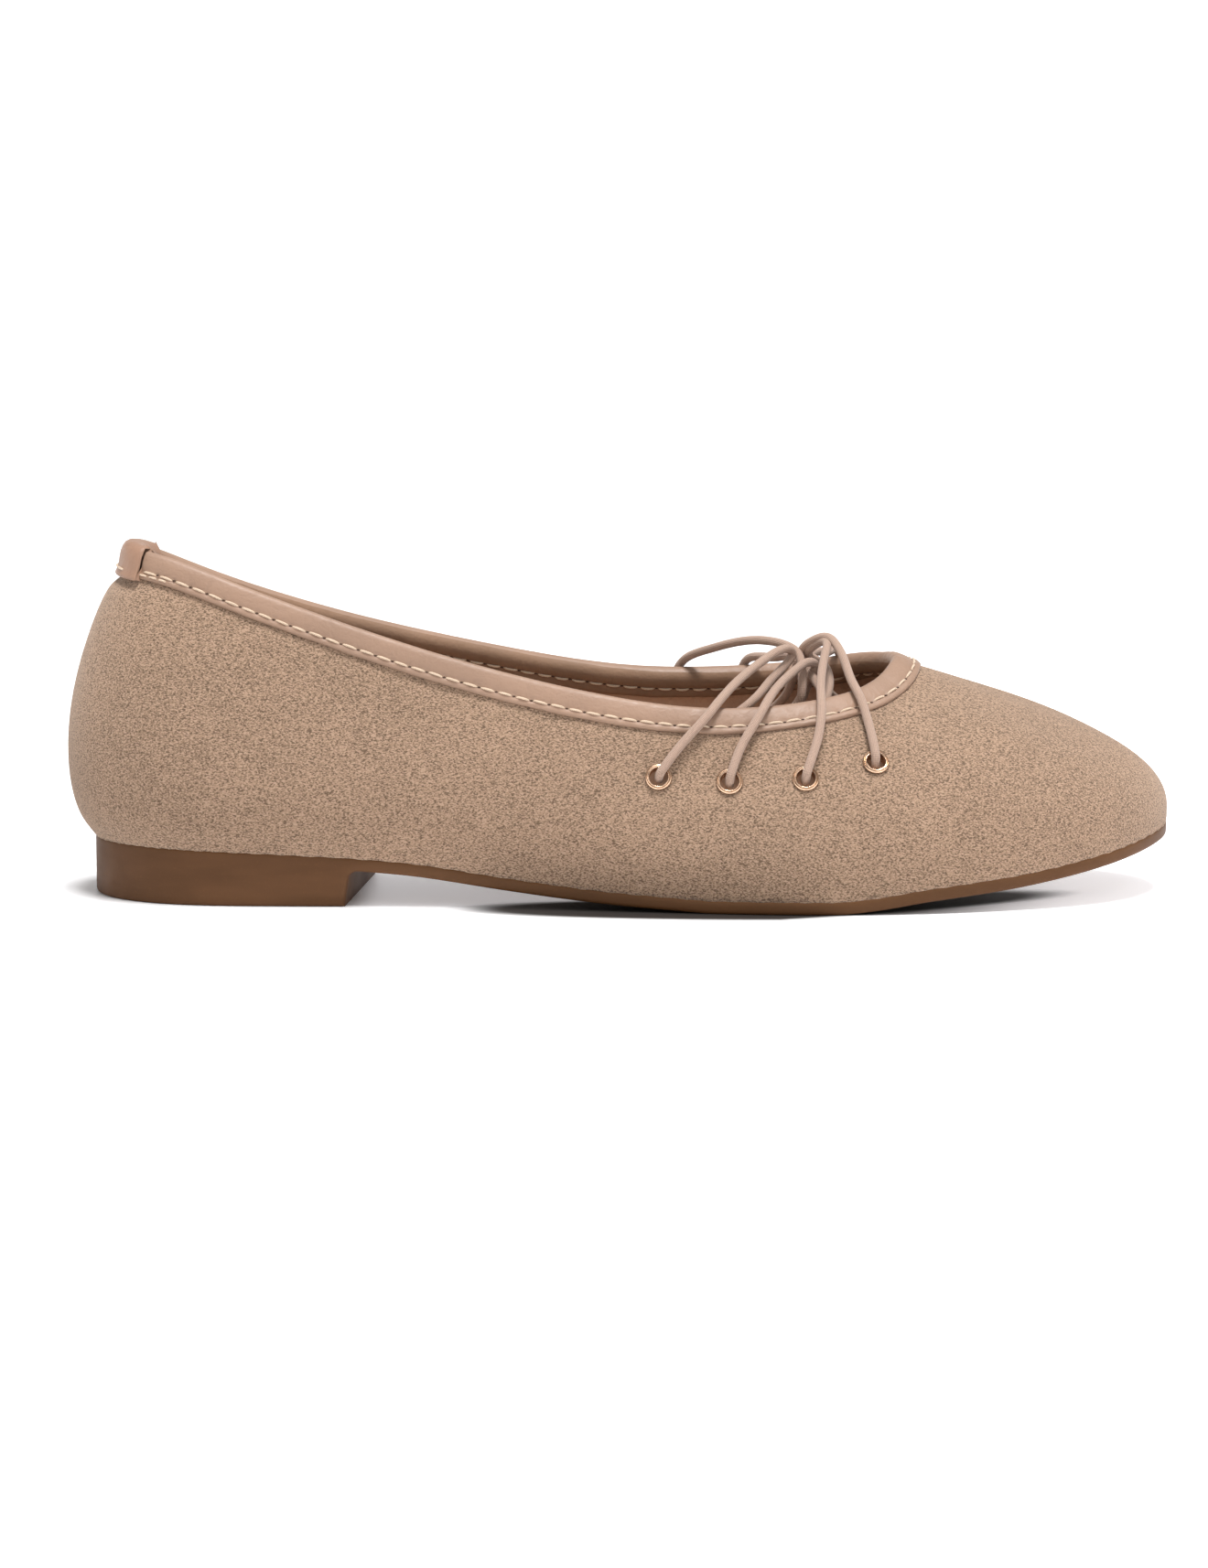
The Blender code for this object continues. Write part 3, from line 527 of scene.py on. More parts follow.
class Tree:
    """A node tree with short ways to add nodes; an input is given a value or a socket to link."""

    def __init__(self, tree, place):
        self.tree = tree
        self.place = self.add("ShaderNodeTexCoord").outputs[place]

    def add(self, kind, inputs=None, **settings):
        node = self.tree.nodes.new(kind)
        for key, value in settings.items():
            setattr(node, key, value)
        for key, value in (inputs or {}).items():
            self.feed(node.inputs[key], value)
        return node

    def feed(self, socket, value):
        if isinstance(value, bpy.types.NodeSocket):
            self.tree.links.new(value, socket)
        else:
            socket.default_value = (*value, 1.0) if socket.type == "RGBA" else value

    def split(self, vector):
        return self.add("ShaderNodeSeparateXYZ", {"Vector": vector}).outputs

    def ranged(self, source, low, high, start=0.0, end=1.0):
        """The source carried smoothly from low and high to start and end."""
        inputs = {"Value": source, "From Min": low, "From Max": high, "To Min": start, "To Max": end}
        return self.add("ShaderNodeMapRange", inputs, interpolation_type="SMOOTHSTEP").outputs["Result"]


class Nodes(Tree):
    """A material's node tree, with what the finishes need."""

    def __init__(self, name, colour, roughness, **constants):
        self.material = bpy.data.materials.new(name)
        self.material.use_nodes = True
        super().__init__(self.material.node_tree, "Object")
        self.shader = self.tree.nodes["Principled BSDF"]
        for socket, value in {"Base_Color": colour, "Roughness": roughness, **constants}.items():
            self.put(socket, value)

    def put(self, socket, value):
        """Set or link one of the shader's own inputs."""
        self.feed(self.shader.inputs[socket.replace("_", " ")], value)

    def stretched(self, scale, turn=(0.0, 0.0, 0.0)):
        inputs = {"Scale": scale, "Rotation": turn, "Vector": self.place}
        return self.add("ShaderNodeMapping", inputs).outputs["Vector"]

    def noise(self, size, detail=2.0, roughness=0.5, vector=None, distortion=0.0):
        """Noise whose grains are about size across, in metres."""
        inputs = {"Scale": 1.0 / size, "Detail": detail, "Roughness": roughness,
                  "Distortion": distortion, "Vector": vector or self.place}
        return self.add("ShaderNodeTexNoise", inputs).outputs["Fac"]

    def cells(self, size, vector=None):
        inputs = {"Scale": 1.0 / size, "Vector": vector or self.place}
        return self.add("ShaderNodeTexVoronoi", inputs).outputs["Distance"]

    def maths(self, operation, *values):
        return self.add("ShaderNodeMath", dict(enumerate(values)), operation=operation).outputs["Value"]

    def mixed(self, factor, first, second):
        """A mix of two colours, which are the node's inputs 6 and 7."""
        return self.add("ShaderNodeMix", {"Factor": factor, 6: first, 7: second},
                        data_type="RGBA").outputs[2]

    def layer(self, colour, source, low, high, share, over):
        """A colour with a share of another laid over it where the source runs from low to high."""
        return self.mixed(self.maths("MULTIPLY", self.ranged(source, low, high), share), colour, over)

    def finished(self, colour, bumps, gloss=None):
        """The material, painted and bumped; each bump is a height socket, its depth and a strength."""
        self.put("Base Color", colour)
        if gloss is not None:
            self.put("Roughness", gloss)
        normal = {}
        for height, depth, strength in bumps:
            inputs = {"Strength": strength, "Distance": depth, "Height": height, **normal}
            normal = {"Normal": self.add("ShaderNodeBump", inputs).outputs["Normal"]}
        self.put("Normal", normal["Normal"])
        return self.material


def shade(colour, factor):
    return tuple(channel * factor for channel in colour)


def suede_finish():
    """Brushed microsuede: soft fibres with a faint lie, mottled where it was stroked."""
    base = (0.280, 0.184, 0.122)
    bright = (base[0] * 1.50, base[1] * 1.54, base[2] * 1.62)
    nodes = Nodes("upper_microsuede", base, 0.95, Sheen_Weight=0.22, Sheen_Roughness=0.55,
                  Sheen_Tint=(1.0, 0.86, 0.74), Specular_IOR_Level=0.15)
    brushed = nodes.stretched((0.72, 1.0, 1.30), (0.0, math.radians(28.0), 0.0))
    fibre = nodes.noise(0.00035, 0.8, 0.50, brushed, 0.7)
    tuft = nodes.noise(0.0017, 2.0, 0.55, brushed, 0.6)
    stroke = nodes.noise(0.0095, 3.0, 0.55, distortion=0.5)
    patch = nodes.noise(0.034)
    colour = nodes.mixed(nodes.ranged(patch, 0.36, 0.64), shade(base, 0.94), shade(base, 1.06))
    colour = nodes.layer(colour, stroke, 0.48, 0.74, 0.45, shade(base, 1.16))
    # tufts and fibres darker in their low spots, fibres lighter on their tips: partly the suede's own
    # speckle, partly painted shade and highlight on the nap
    colour = nodes.layer(colour, tuft, 0.54, 0.34, 0.10, shade(base, 0.76))
    colour = nodes.layer(colour, fibre, 0.50, 0.66, 0.75, bright)
    colour = nodes.layer(colour, fibre, 0.49, 0.37, 0.85, shade(base, 0.36))
    return nodes.finished(colour, [(stroke, 0.0012, 0.18), (tuft, 0.00030, 0.25), (fibre, 0.00028, 0.85)])


def leather_finish(name, base, roughness, wrinkle=0.35, shine=0.34):
    """Fine-grained smooth leather with small creases and an uneven shine."""
    nodes = Nodes(name, base, roughness, Coat_Weight=0.06, Coat_Roughness=0.34,
                  Specular_IOR_Level=shine)
    pores = nodes.cells(0.00075, nodes.stretched((1.0, 1.0, 1.25)))
    creases = nodes.noise(0.0034, 4.0, 0.60, distortion=1.2)
    patch = nodes.noise(0.021)
    colour = nodes.mixed(nodes.ranged(patch, 0.36, 0.66), shade(base, 0.94), shade(base, 1.05))
    # darker in the creases' troughs: painted shade
    colour = nodes.layer(colour, creases, 0.46, 0.30, 0.30, shade(base, 0.80))
    gloss = nodes.ranged(creases, 0.30, 0.70, roughness + 0.10, roughness - 0.06)
    return nodes.finished(colour, [(creases, 0.00055, wrinkle), (pores, 0.00010, 0.45)], gloss)


def rubber_finish():
    """Moulded rubber: satin, with a matt moulded grain whose raised flecks are paler."""
    base = (0.092, 0.0380, 0.0118)
    nodes = Nodes("sole_moulded_rubber", base, 0.60, Specular_IOR_Level=0.24)
    grain = nodes.noise(0.00042, 2.0, 0.6)
    flow = nodes.noise(0.016, 3.0, 0.55, nodes.stretched((0.35, 1.0, 1.6)))
    colour = nodes.mixed(nodes.ranged(flow, 0.34, 0.68), shade(base, 0.90), shade(base, 1.13))
    colour = nodes.layer(colour, grain, 0.58, 0.74, 0.25, shade(base, 1.5))
    gloss = nodes.ranged(flow, 0.30, 0.70, 0.66, 0.54)
    return nodes.finished(colour, [(flow, 0.0005, 0.12), (grain, 0.00008, 0.30)], gloss)


def metal_finish():
    """Pale gold plate with fine turning marks."""
    base = (0.70, 0.49, 0.345)
    nodes = Nodes("eyelet_gold_plate", base, 0.22, Metallic=1.0)
    marks = nodes.noise(0.00022)
    wear = nodes.noise(0.0016, 2.0, 0.6)
    colour = nodes.mixed(nodes.ranged(wear, 0.35, 0.68), shade(base, 0.88), shade(base, 1.08))
    return nodes.finished(colour, [(marks, 0.00002, 0.25)], nodes.ranged(wear, 0.30, 0.70, 0.18, 0.28))


def cord_finish():
    """Round elastic: a fine knitted cover, seen as small slanted loops both ways."""
    base = (0.420, 0.288, 0.220)
    stitches_round, stitch_long = 9.0, 0.62
    nodes = Nodes("elastic_knitted_cover", base, 0.72, Sheen_Weight=0.22, Sheen_Roughness=0.45,
                  Sheen_Tint=(1.0, 0.90, 0.84), Specular_IOR_Level=0.30)
    split = nodes.split(nodes.add("ShaderNodeUVMap", uv_map="UVMap").outputs["UV"])
    around = nodes.maths("MULTIPLY", split["X"], 2.0 * math.pi * stitches_round)
    ahead = nodes.maths("MULTIPLY", split["Y"], 2.0 * math.pi / stitch_long)
    knit = nodes.maths("MULTIPLY", nodes.maths("SINE", nodes.maths("ADD", around, ahead)),
                       nodes.maths("SINE", nodes.maths("SUBTRACT", around, ahead)))
    fuzz = nodes.noise(0.00030, 2.0, 0.6)
    # darker where the knit is low, between the loops: painted shade
    colour = nodes.mixed(nodes.ranged(knit, 0.1, -0.9), base, shade(base, 0.66))
    colour = nodes.layer(colour, fuzz, 0.50, 0.72, 0.4, shade(base, 1.22))
    return nodes.finished(colour, [(nodes.ranged(knit, -1.0, 1.0), 0.00016, 0.70), (fuzz, 0.00008, 0.40)])


def thread_finish():
    """Twisted sewing thread."""
    base = (0.66, 0.50, 0.36)
    nodes = Nodes("sewing_thread", base, 0.55, Sheen_Weight=0.15)
    twist = nodes.add("ShaderNodeTexWave", {"Scale": 2600.0, "Vector": nodes.place},
                      wave_type="BANDS", bands_direction="DIAGONAL").outputs["Fac"]
    # darker in the twist's grooves: painted shade
    colour = nodes.mixed(twist, shade(base, 0.74), shade(base, 1.08))
    return nodes.finished(colour, [(twist, 0.00006, 0.5)])


def cloth_finish(name, base):
    """Soft leather-look lining with fine crinkles."""
    nodes = Nodes(name, base, 0.62, Specular_IOR_Level=0.32, Sheen_Weight=0.08)
    crinkle = nodes.noise(0.0026, 4.0, 0.62, distortion=1.6)
    grain = nodes.cells(0.00060)
    patch = nodes.noise(0.026)
    colour = nodes.mixed(nodes.ranged(patch, 0.34, 0.66), shade(base, 0.92), shade(base, 1.06))
    # darker in the crinkles' troughs: painted shade
    colour = nodes.layer(colour, crinkle, 0.44, 0.30, 0.35, shade(base, 0.74))
    gloss = nodes.ranged(crinkle, 0.30, 0.70, 0.72, 0.54)
    return nodes.finished(colour, [(crinkle, 0.0007, 0.38), (grain, 0.00010, 0.35)], gloss)


# Camera, light and floor

def build_camera():
    camera = bpy.data.cameras.new("camera")
    camera.sensor_fit = "HORIZONTAL"
    camera.sensor_width = SENSOR_WIDTH
    camera.lens = FOCAL_LENGTH * SENSOR_WIDTH / PHOTO_WIDTH
    camera.clip_end = 200.0
    viewer = add_object("camera", camera)
    away = Vector((0.0, -math.cos(CAMERA_LIFT), math.sin(CAMERA_LIFT)))
    viewer.location = Vector(CAMERA_TARGET) + away * CAMERA_REACH
    viewer.rotation_euler = (math.radians(90.0) - CAMERA_LIFT, 0.0, 0.0)
    bpy.context.scene.camera = viewer


def build_lamp(name, kind, place, aim, **settings):
    """A lamp at a place that shines towards its aim."""
    light = bpy.data.lights.new(name, kind)
    for key, value in settings.items():
        setattr(light, key, value)
    item = add_object(name, light)
    item.location = place
    item.rotation_euler = (Vector(place) - Vector(aim)).to_track_quat("Z", "Y").to_euler()


def build_light():
    """A white studio, brighter near the horizon, with one soft sun and two panels."""
    world = bpy.data.worlds.new("studio")
    bpy.context.scene.world = world
    world.use_nodes = True
    sky = Tree(world.node_tree, "Generated")
    background = sky.tree.nodes["Background"].inputs
    sky.feed(background["Strength"], sky.ranged(sky.split(sky.place)["Z"], 0.04, 0.36, 1.75, 0.42))
    sky.feed(background["Color"], (1.0, 1.0, 1.0))
    shoe = (0.10, 0.0, 0.03)
    build_lamp("key", "SUN", (0.0, 0.0, 0.0), (-0.05, 0.15, -0.98), energy=3.9, angle=math.radians(20.0))
    build_lamp("front_softbox", "AREA", (0.55, -0.85, 0.75), shoe, shape="RECTANGLE", size=0.45,
               size_y=0.35, energy=1.6)
    build_lamp("top_strip", "AREA", (0.0, 0.15, 0.95), shoe, shape="RECTANGLE", size=0.9,
               size_y=0.18, energy=1.4)


def build_floor():
    """The white floor, with a painted shadow under the ball and a painted glow (emission) under the arch and
    past the toe.
    """
    white, painted_contact_shadow = (0.88, 0.88, 0.89), (0.030, 0.026, 0.024)
    reach = 40.0
    mesh = bpy.data.meshes.new("studio_floor")
    mesh.from_pydata([(-reach, -reach, 0.0), (reach, -reach, 0.0), (reach, reach, 0.0),
                      (-reach, reach, 0.0)], [], [(0, 1, 2, 3)])
    floor = add_object("studio_floor", mesh)
    nodes = Nodes("studio_floor_white", white, 0.45, Specular_IOR_Level=0.20)
    nodes.put("Roughness", nodes.ranged(nodes.noise(0.5), 0.3, 0.7, 0.42, 0.50))
    place = nodes.split(nodes.place)
    along = place["X"]

    def squared(source, middle, radius):
        return nodes.maths("POWER", nodes.maths("ABSOLUTE", nodes.maths(
            "MULTIPLY", nodes.maths("SUBTRACT", source, middle), 1.0 / radius)), 2.0)

    # a painted contact shadow: a soft dark oval under the ball, sheared towards the medial side past the
    # ball
    lean = nodes.maths("MAXIMUM", nodes.maths("SUBTRACT", along, 0.125), 0.0)
    across = nodes.maths("SUBTRACT", place["Y"], nodes.maths("MULTIPLY", lean, 0.36))
    painted_shadow_oval = nodes.maths("ADD", squared(along, 0.122, 0.073), squared(across, -0.031, 0.0168))
    painted_shadow_mask = nodes.ranged(painted_shadow_oval, 1.05, 0.62)
    nodes.put("Base Color", nodes.mixed(painted_shadow_mask, white, painted_contact_shadow))
    # a painted glow: the floor emits light under the arch and past the toe, though no lamp is there, and
    # none within the painted shadow
    arch = nodes.maths("MULTIPLY", nodes.ranged(along, 0.028, 0.036), nodes.ranged(along, 0.115, 0.085))
    glow = nodes.maths("ADD", nodes.maths("MULTIPLY", arch, 0.32),
                       nodes.maths("MULTIPLY", nodes.ranged(along, 0.150, 0.195), 0.55))
    nodes.put("Emission Color", (1.0, 0.98, 1.0))
    nodes.put("Emission Strength", nodes.maths("MULTIPLY", glow, nodes.maths("SUBTRACT", 1.0, painted_shadow_mask)))
    mesh.materials.append(nodes.material)


# Cords

def eyelet_list():
    """Each eyelet's side, number, station and distance below the topline."""
    for side, places in EYELETS.items():
        for number, (station, share) in enumerate(places):
            yield side, number, station, share * BACK_HEIGHT


def loop_points(station, below, middle, crossing, free):
    """Points of one loop: through its eyelet, up the wall, over the topline, to the gather and back."""
    half, deep = middle
    points = [
        on_wall(station, below, -4.8 * MM),
        on_wall(station, below, -2.0 * MM),
        on_wall(station, below, 0.4 * MM),
        on_wall(station + (half - station) * 0.16, below - (below - deep * MM) * 0.20, 1.75 * MM),
        on_wall(station + (half - station) * 0.50, below - (below - deep * MM) * 0.52, 1.55 * MM),
        on_wall(half, deep * MM, 1.80 * MM),
        on_wall(half + (crossing - half) * 0.66, deep * 0.28 * MM, 3.05 * MM),
        on_wall(crossing, -1.9 * MM, 2.80 * MM),
    ]
    points.extend(np.asarray(free) * MM)
    return points


def build_gather_loop(points, material):
    """The rearmost medial cord, which hooks both sides together and ends by the third eyelet."""
    station, share = EYELETS["medial"][2]
    for part, out in ((0.80, -5.6), (0.94, -4.4)):
        points.append(on_wall(station, share * BACK_HEIGHT * part, out * MM))
    route = spread_route(points, ROUTE_STEP)
    piece = new_object("cord_gather_loop", tube_mesh(route, CORD_DIAMETER / 2, CORD_SIDES), material,
                       ("lace_knot", "lace_medial"))


def build_cords(material):
    """The loops, each closed behind its eyelet, but for the one that gathers them."""
    for side, number, station, below in eyelet_list():
        points = loop_points(station, below, *LOOPS[side][number])
        if (side, number) == ("medial", 0):
            build_gather_loop(points, material)
            continue
        shift, part, out = (0.10, 0.72, -6.6) if (side, number) == ("medial", 2) else (0.0, 0.74, -6.2)
        points.append(on_wall(station + shift, below * part, out * MM))
        route = spread_route(points, ROUTE_STEP, closed=True)
        mesh = tube_mesh(route, CORD_DIAMETER / 2, CORD_SIDES, closed=True)
        new_object(f"cord_{side}_{number + 1}", mesh, material, (f"lace_{side}",))


# The upper

def upper_relief(surface, below):
    """Small rises and hollows of the suede, in metres out of the wall."""
    station = surface.stations
    share = below / surface.total
    relief = np.zeros(len(station))
    away = from_heel(station)
    # a full roll under the binding, flat over the vamp, and a flatter heel
    relief += 0.16 * MM * hills(below, 7.4 * MM, 2.0 * MM) * (1.0 - hills(away, THROAT_STATION, 4.0))
    relief -= 0.5 * MM * hills(away, 0.0, 1.3) * hills(share, 0.31, 0.20)
    # the suede is pulled in a little by each eyelet
    for _, _, place, depth in eyelet_list():
        reach = ((station - place) * 12.0) ** 2 + ((below - depth) / MM) ** 2
        relief -= 0.50 * MM * np.exp(-reach / 14.0)
    # soft troughs where the vamp flexes, on both sides of the throat
    for place, lean, depth in ((7.9, 0.35, 0.30), (8.9, 0.5, 0.26), (16.0, -0.4, 0.30), (15.1, -0.5, 0.24)):
        crest = station - place - lean * (share - 0.5)
        relief -= depth * MM * hills(crest, 0.0, 0.28) * hills(share, 0.62, 0.24)
        relief += depth * 0.7 * MM * hills(crest, 0.55, 0.26) * hills(share, 0.62, 0.22)
    # slow unevenness of a hand-lasted upper
    relief += 0.16 * MM * np.sin(station * 2.4 + share * 5.0) * np.sin(share * math.pi)
    relief += 0.10 * MM * np.sin(station * 5.3 - share * 7.0 + 1.0) * np.sin(share * math.pi)
    # puckers just above the sole, and an edge drawn out over it
    relief += 0.07 * MM * np.sin(station * 31.0) * hills(surface.total - below, 0.0, 2.6 * MM)
    relief += 0.30 * MM * hills(surface.total - below, 0.0, 1.6 * MM)
    # the seam up the back of the heel
    relief -= 0.30 * MM * hills(away, 0.0, 0.055)
    relief += 0.12 * MM * hills(away, 0.16, 0.07)
    return relief


def rows_down(surface, count):
    """Depths below the topline for each row of a wall, from its foot up."""
    return [surface.total * (1.0 - row / count) for row in range(count + 1)]


def build_upper(material):
    """The suede shell as one closed wall with its eyelet holes."""
    stations = np.linspace(0.0, len(SECTIONS), 432, endpoint=False)
    surface = Surface(stations)
    outer = [surface.ring(below, upper_relief(surface, below)) for below in rows_down(surface, 58)]
    inner = [surface.ring(below, -WALL) for below in rows_down(surface, 16)]
    outer[0][:, 2] -= (0.38 + 0.14 * steady_noise(7, len(stations), 160)) * MM
    inner[0][:, 2] = outer[0][:, 2]
    rings = np.asarray([*outer, *inner[::-1]]).transpose(1, 0, 2)
    piece = new_object("upper_shell", grid_mesh(rings), material, ("upper",))
    cutters = [formed_mesh(bmesh.ops.create_cone, eyelet_matrix(station, below), cap_ends=True,
                           segments=40, radius1=2.5 * MM, radius2=2.5 * MM, depth=9.0 * MM)
               for _, _, station, below in eyelet_list()]
    tool = add_object("holes", merge_meshes(cutters))
    modifier = piece.modifiers.new("holes", "BOOLEAN")
    modifier.operation = "DIFFERENCE"
    modifier.solver = "EXACT"
    modifier.object = tool
    bpy.context.view_layer.update()
    graph = bpy.context.evaluated_depsgraph_get()
    mesh = bpy.data.meshes.new_from_object(piece.evaluated_get(graph))
    piece.modifiers.clear()
    piece.data = mesh
    mesh.shade_smooth()
    bpy.data.objects.remove(tool)


def build_lining(material):
    """A thin lining inside the wall, from under the binding down to the footbed."""
    stations = np.linspace(0.0, len(SECTIONS), 300, endpoint=False)
    surface = Surface(stations)
    start, rows = 1.5 * MM, 40
    face, back = [], []
    slack = steady_noise(5, len(stations), 26)
    for row in range(rows + 1):
        share = row / rows
        below = start + (surface.total - start - 0.2 * MM) * share
        loose = hills(share, 0.5, 0.28) * (0.10 + 0.14 * np.sin(stations * 3.1 + share * 6.0) + 0.10 * slack)
        face.append(surface.ring(below, -WALL - 0.24 * MM - np.maximum(loose, -0.1) * MM))
        if row % 8 == 0:
            back.append(surface.ring(below, -WALL - 0.04 * MM))
    rings = np.asarray([*face, *back[::-1]]).transpose(1, 0, 2)
    new_object("upper_lining", grid_mesh(rings), material)


# Binding, tab and stitches

# below the topline and out of the wall, millimetres
BINDING_SECTION = [
    (4.70, 0.04), (4.72, 0.50), (4.60, 0.84), (4.25, 0.98), (3.78, 1.02), (3.20, 0.96), (2.62, 1.08),
    (2.00, 1.20), (1.20, 1.30), (0.40, 1.38), (-0.40, 1.42), (-1.05, 1.34), (-1.58, 1.02),
    (-1.92, 0.40), (-2.02, -0.45), (-1.92, -1.35), (-1.60, -2.15), (-1.05, -2.78), (-0.30, -3.16),
    (0.60, -3.28), (1.40, -3.14), (2.10, -2.94), (2.80, -3.10), (3.80, -3.10), (4.40, -3.00),
    (4.80, -2.70), (4.80, -2.12), (3.0, -2.10), (1.0, -2.10), (-0.25, -2.06), (-0.30, -0.9),
    (-0.25, 0.04), (1.0, 0.04), (3.0, 0.04),
]
STITCHES = int(round(TOPLINE / (4.0 * MM)))
STITCH_PITCH = TOPLINE / STITCHES


def stitch_pull(distance):
    """How much the thread pulls the leather in at a distance round the topline, 0 to 1."""
    phase = (distance / STITCH_PITCH + 0.5) % 1.0 - 0.5
    return 0.30 + 0.70 * np.exp(-(phase / 0.17) ** 2)


def band_spread(stations):
    """How much deeper the band reaches beside the throat, in metres at its lower edge."""
    return 1.0 * MM * hills(np.abs(np.asarray(stations) - THROAT_STATION), 2.4, 1.25)


def build_binding(material, inner):
    """The strip folded over the topline, drawn in along its stitches."""
    count = 1680
    distance = np.linspace(0.0, TOPLINE, count, endpoint=False)
    surface = Surface(station_at(distance))
    pull = stitch_pull(distance)
    wobble = steady_noise(11, count, 40)
    gathers = steady_noise(12, count, 120)
    throat = hills(surface.stations, 11.9, 2.6)
    spread = band_spread(surface.stations)
    section = np.asarray(BINDING_SECTION)
    rings = []
    for below, out in section:
        depth = np.full(count, below * MM)
        height = np.full(count, out * MM)
        outside = 1.0 if out > -0.4 else -1.0
        free = 1.0 if (out > 0.1 or out < -2.3 or below < -0.9) else 0.0
        depth += wobble * 0.14 * MM * (1.0 if below > 4.0 else 0.3)
        depth += spread * max(0.0, below / BAND_DEPTH) * (1.0 if out > 0.0 else 0.0)
        near_row = math.exp(-((below - (OUTER_ROW if out > 0.0 else INNER_ROW)) / 0.62) ** 2)
        height -= outside * pull * near_row * free * 0.34 * MM
        height += outside * free * gathers * throat * 0.16 * MM
        height += outside * free * wobble * 0.07 * MM
        rings.append(surface.ring(depth, height))
    rings = np.asarray(rings).transpose(1, 0, 2)
    piece = new_object("binding_strip", grid_mesh(rings), material,
                       ("topline_binding",))
    # the inner faces take a darker copy of the same leather: painted shade on the inside of the fold
    piece.data.materials.append(inner)
    for face in piece.data.polygons:
        if section[face.index % len(section)][1] < -1.2:
            face.material_index = 1


def build_tab(material):
    """The short strip folded over the binding at the heel."""
    outline = [(5.80, 1.10), (5.94, 1.46), (5.76, 1.84), (5.2, 2.00), (4.3, 2.12), (3.4, 2.30),
               (2.3, 2.52), (1.2, 2.66), (0.0, 2.74), (-0.9, 2.66), (-1.9, 2.15), (-2.6, 1.25),
               (-2.98, 0.0), (-3.02, -1.2), (-2.75, -2.4), (-2.2, -3.3), (-1.2, -4.0), (0.0, -4.35),
               (1.5, -4.45), (3.0, -4.4), (4.6, -4.3), (5.9, -4.15), (6.1, -3.8), (5.9, -3.5),
               (4.0, -3.42), (2.0, -3.42), (0.6, -3.50), (-0.6, -3.28), (-1.4, -2.75), (-1.95, -2.1),
               (-2.20, -1.2), (-2.20, -0.3), (-2.06, 0.50), (-1.62, 1.22), (-0.8, 1.52), (0.6, 1.52),
               (2.0, 1.34), (3.2, 1.18), (4.6, 1.14)]
    half = TAB_WIDTH / 2
    distance = np.linspace(-half, half, 60)
    surface = Surface(station_at(distance))
    rings = []
    edge = np.clip((half - np.abs(distance)) / (0.55 * MM), 0.0, 1.0)
    plump = np.sqrt(1.0 - (1.0 - edge) ** 2)
    for below, out in outline:
        if out > 1.0 or (below > 0.0 and out > 0.0):
            core = (below, 2.10 - 0.50 * min(1.0, max(0.0, (below - 1.4) / 2.8)))
        elif out < -2.9:
            core = (below, -3.90)
        else:
            core = (-2.55, out)
        depth = core[0] + (below - core[0]) * plump
        height = core[1] + (out - core[1]) * plump
        rings.append(surface.ring(depth * MM, height * MM))
    rings = np.asarray(rings).transpose(1, 0, 2)
    new_object("tab_strip", grid_mesh(rings, closed_tube=False), material,
               ("heel_tab",))


def build_stitches(material):
    """Every stitch of the binding's row outside and inside, as its own short run of thread."""
    meshes = []
    random = np.random.default_rng(21)
    half_tab = TAB_WIDTH / 2
    for number in range(STITCHES):
        centre = (number + 0.5) * STITCH_PITCH
        away = min(centre, TOPLINE - centre)
        on_tab = away < half_tab
        for inside in (False, True):
            long = STITCH_PITCH * random.uniform(0.74, 0.82)
            lean = random.uniform(0.02, 0.10) * MM
            drop = random.uniform(-0.06, 0.06) * MM
            leans = np.array([-1.0, -0.8, -0.4, 0.0, 0.4, 0.8, 1.0]) * lean
            rise = np.array([-0.52, -0.16, 0.08, 0.15, 0.08, -0.16, -0.52]) * MM
            surface = Surface(station_at(
                centre + np.array([-0.5, -0.42, -0.25, 0.0, 0.25, 0.42, 0.5]) * long))
            if inside:
                row, level = (4.6, -4.40) if on_tab else (INNER_ROW, -2.98)
                route = surface.ring(row * MM + leans + drop, level * MM - rise)
            elif abs(away - half_tab) < STITCH_PITCH * 0.45:
                continue
            else:
                row, level = (4.20, 2.22) if on_tab else (OUTER_ROW, 0.98)
                row = row * MM + band_spread(surface.stations) * row / BAND_DEPTH
                route = surface.ring(row + leans + drop, level * MM + rise)
            meshes.append(tube_mesh(route, np.array([0.14, 0.22, 0.26, 0.27, 0.26, 0.22, 0.14]) * MM, 7))
    # a short second row on the band beside each end of the tab
    for step in range(3):
        for turned in (-1.0, 1.0):
            centre = (half_tab + (0.8 + step * 2.4) * MM) * turned
            surface = Surface(station_at(centre + np.array([-0.5, -0.35, 0.0, 0.35, 0.5]) * 1.9 * MM))
            route = surface.ring(4.05 * MM, (1.02 + np.array([-0.35, 0.05, 0.14, 0.05, -0.35])) * MM)
            meshes.append(tube_mesh(route, np.array([0.14, 0.22, 0.24, 0.22, 0.14]) * MM, 7))
    new_object("binding_stitches", merge_meshes(meshes), material)


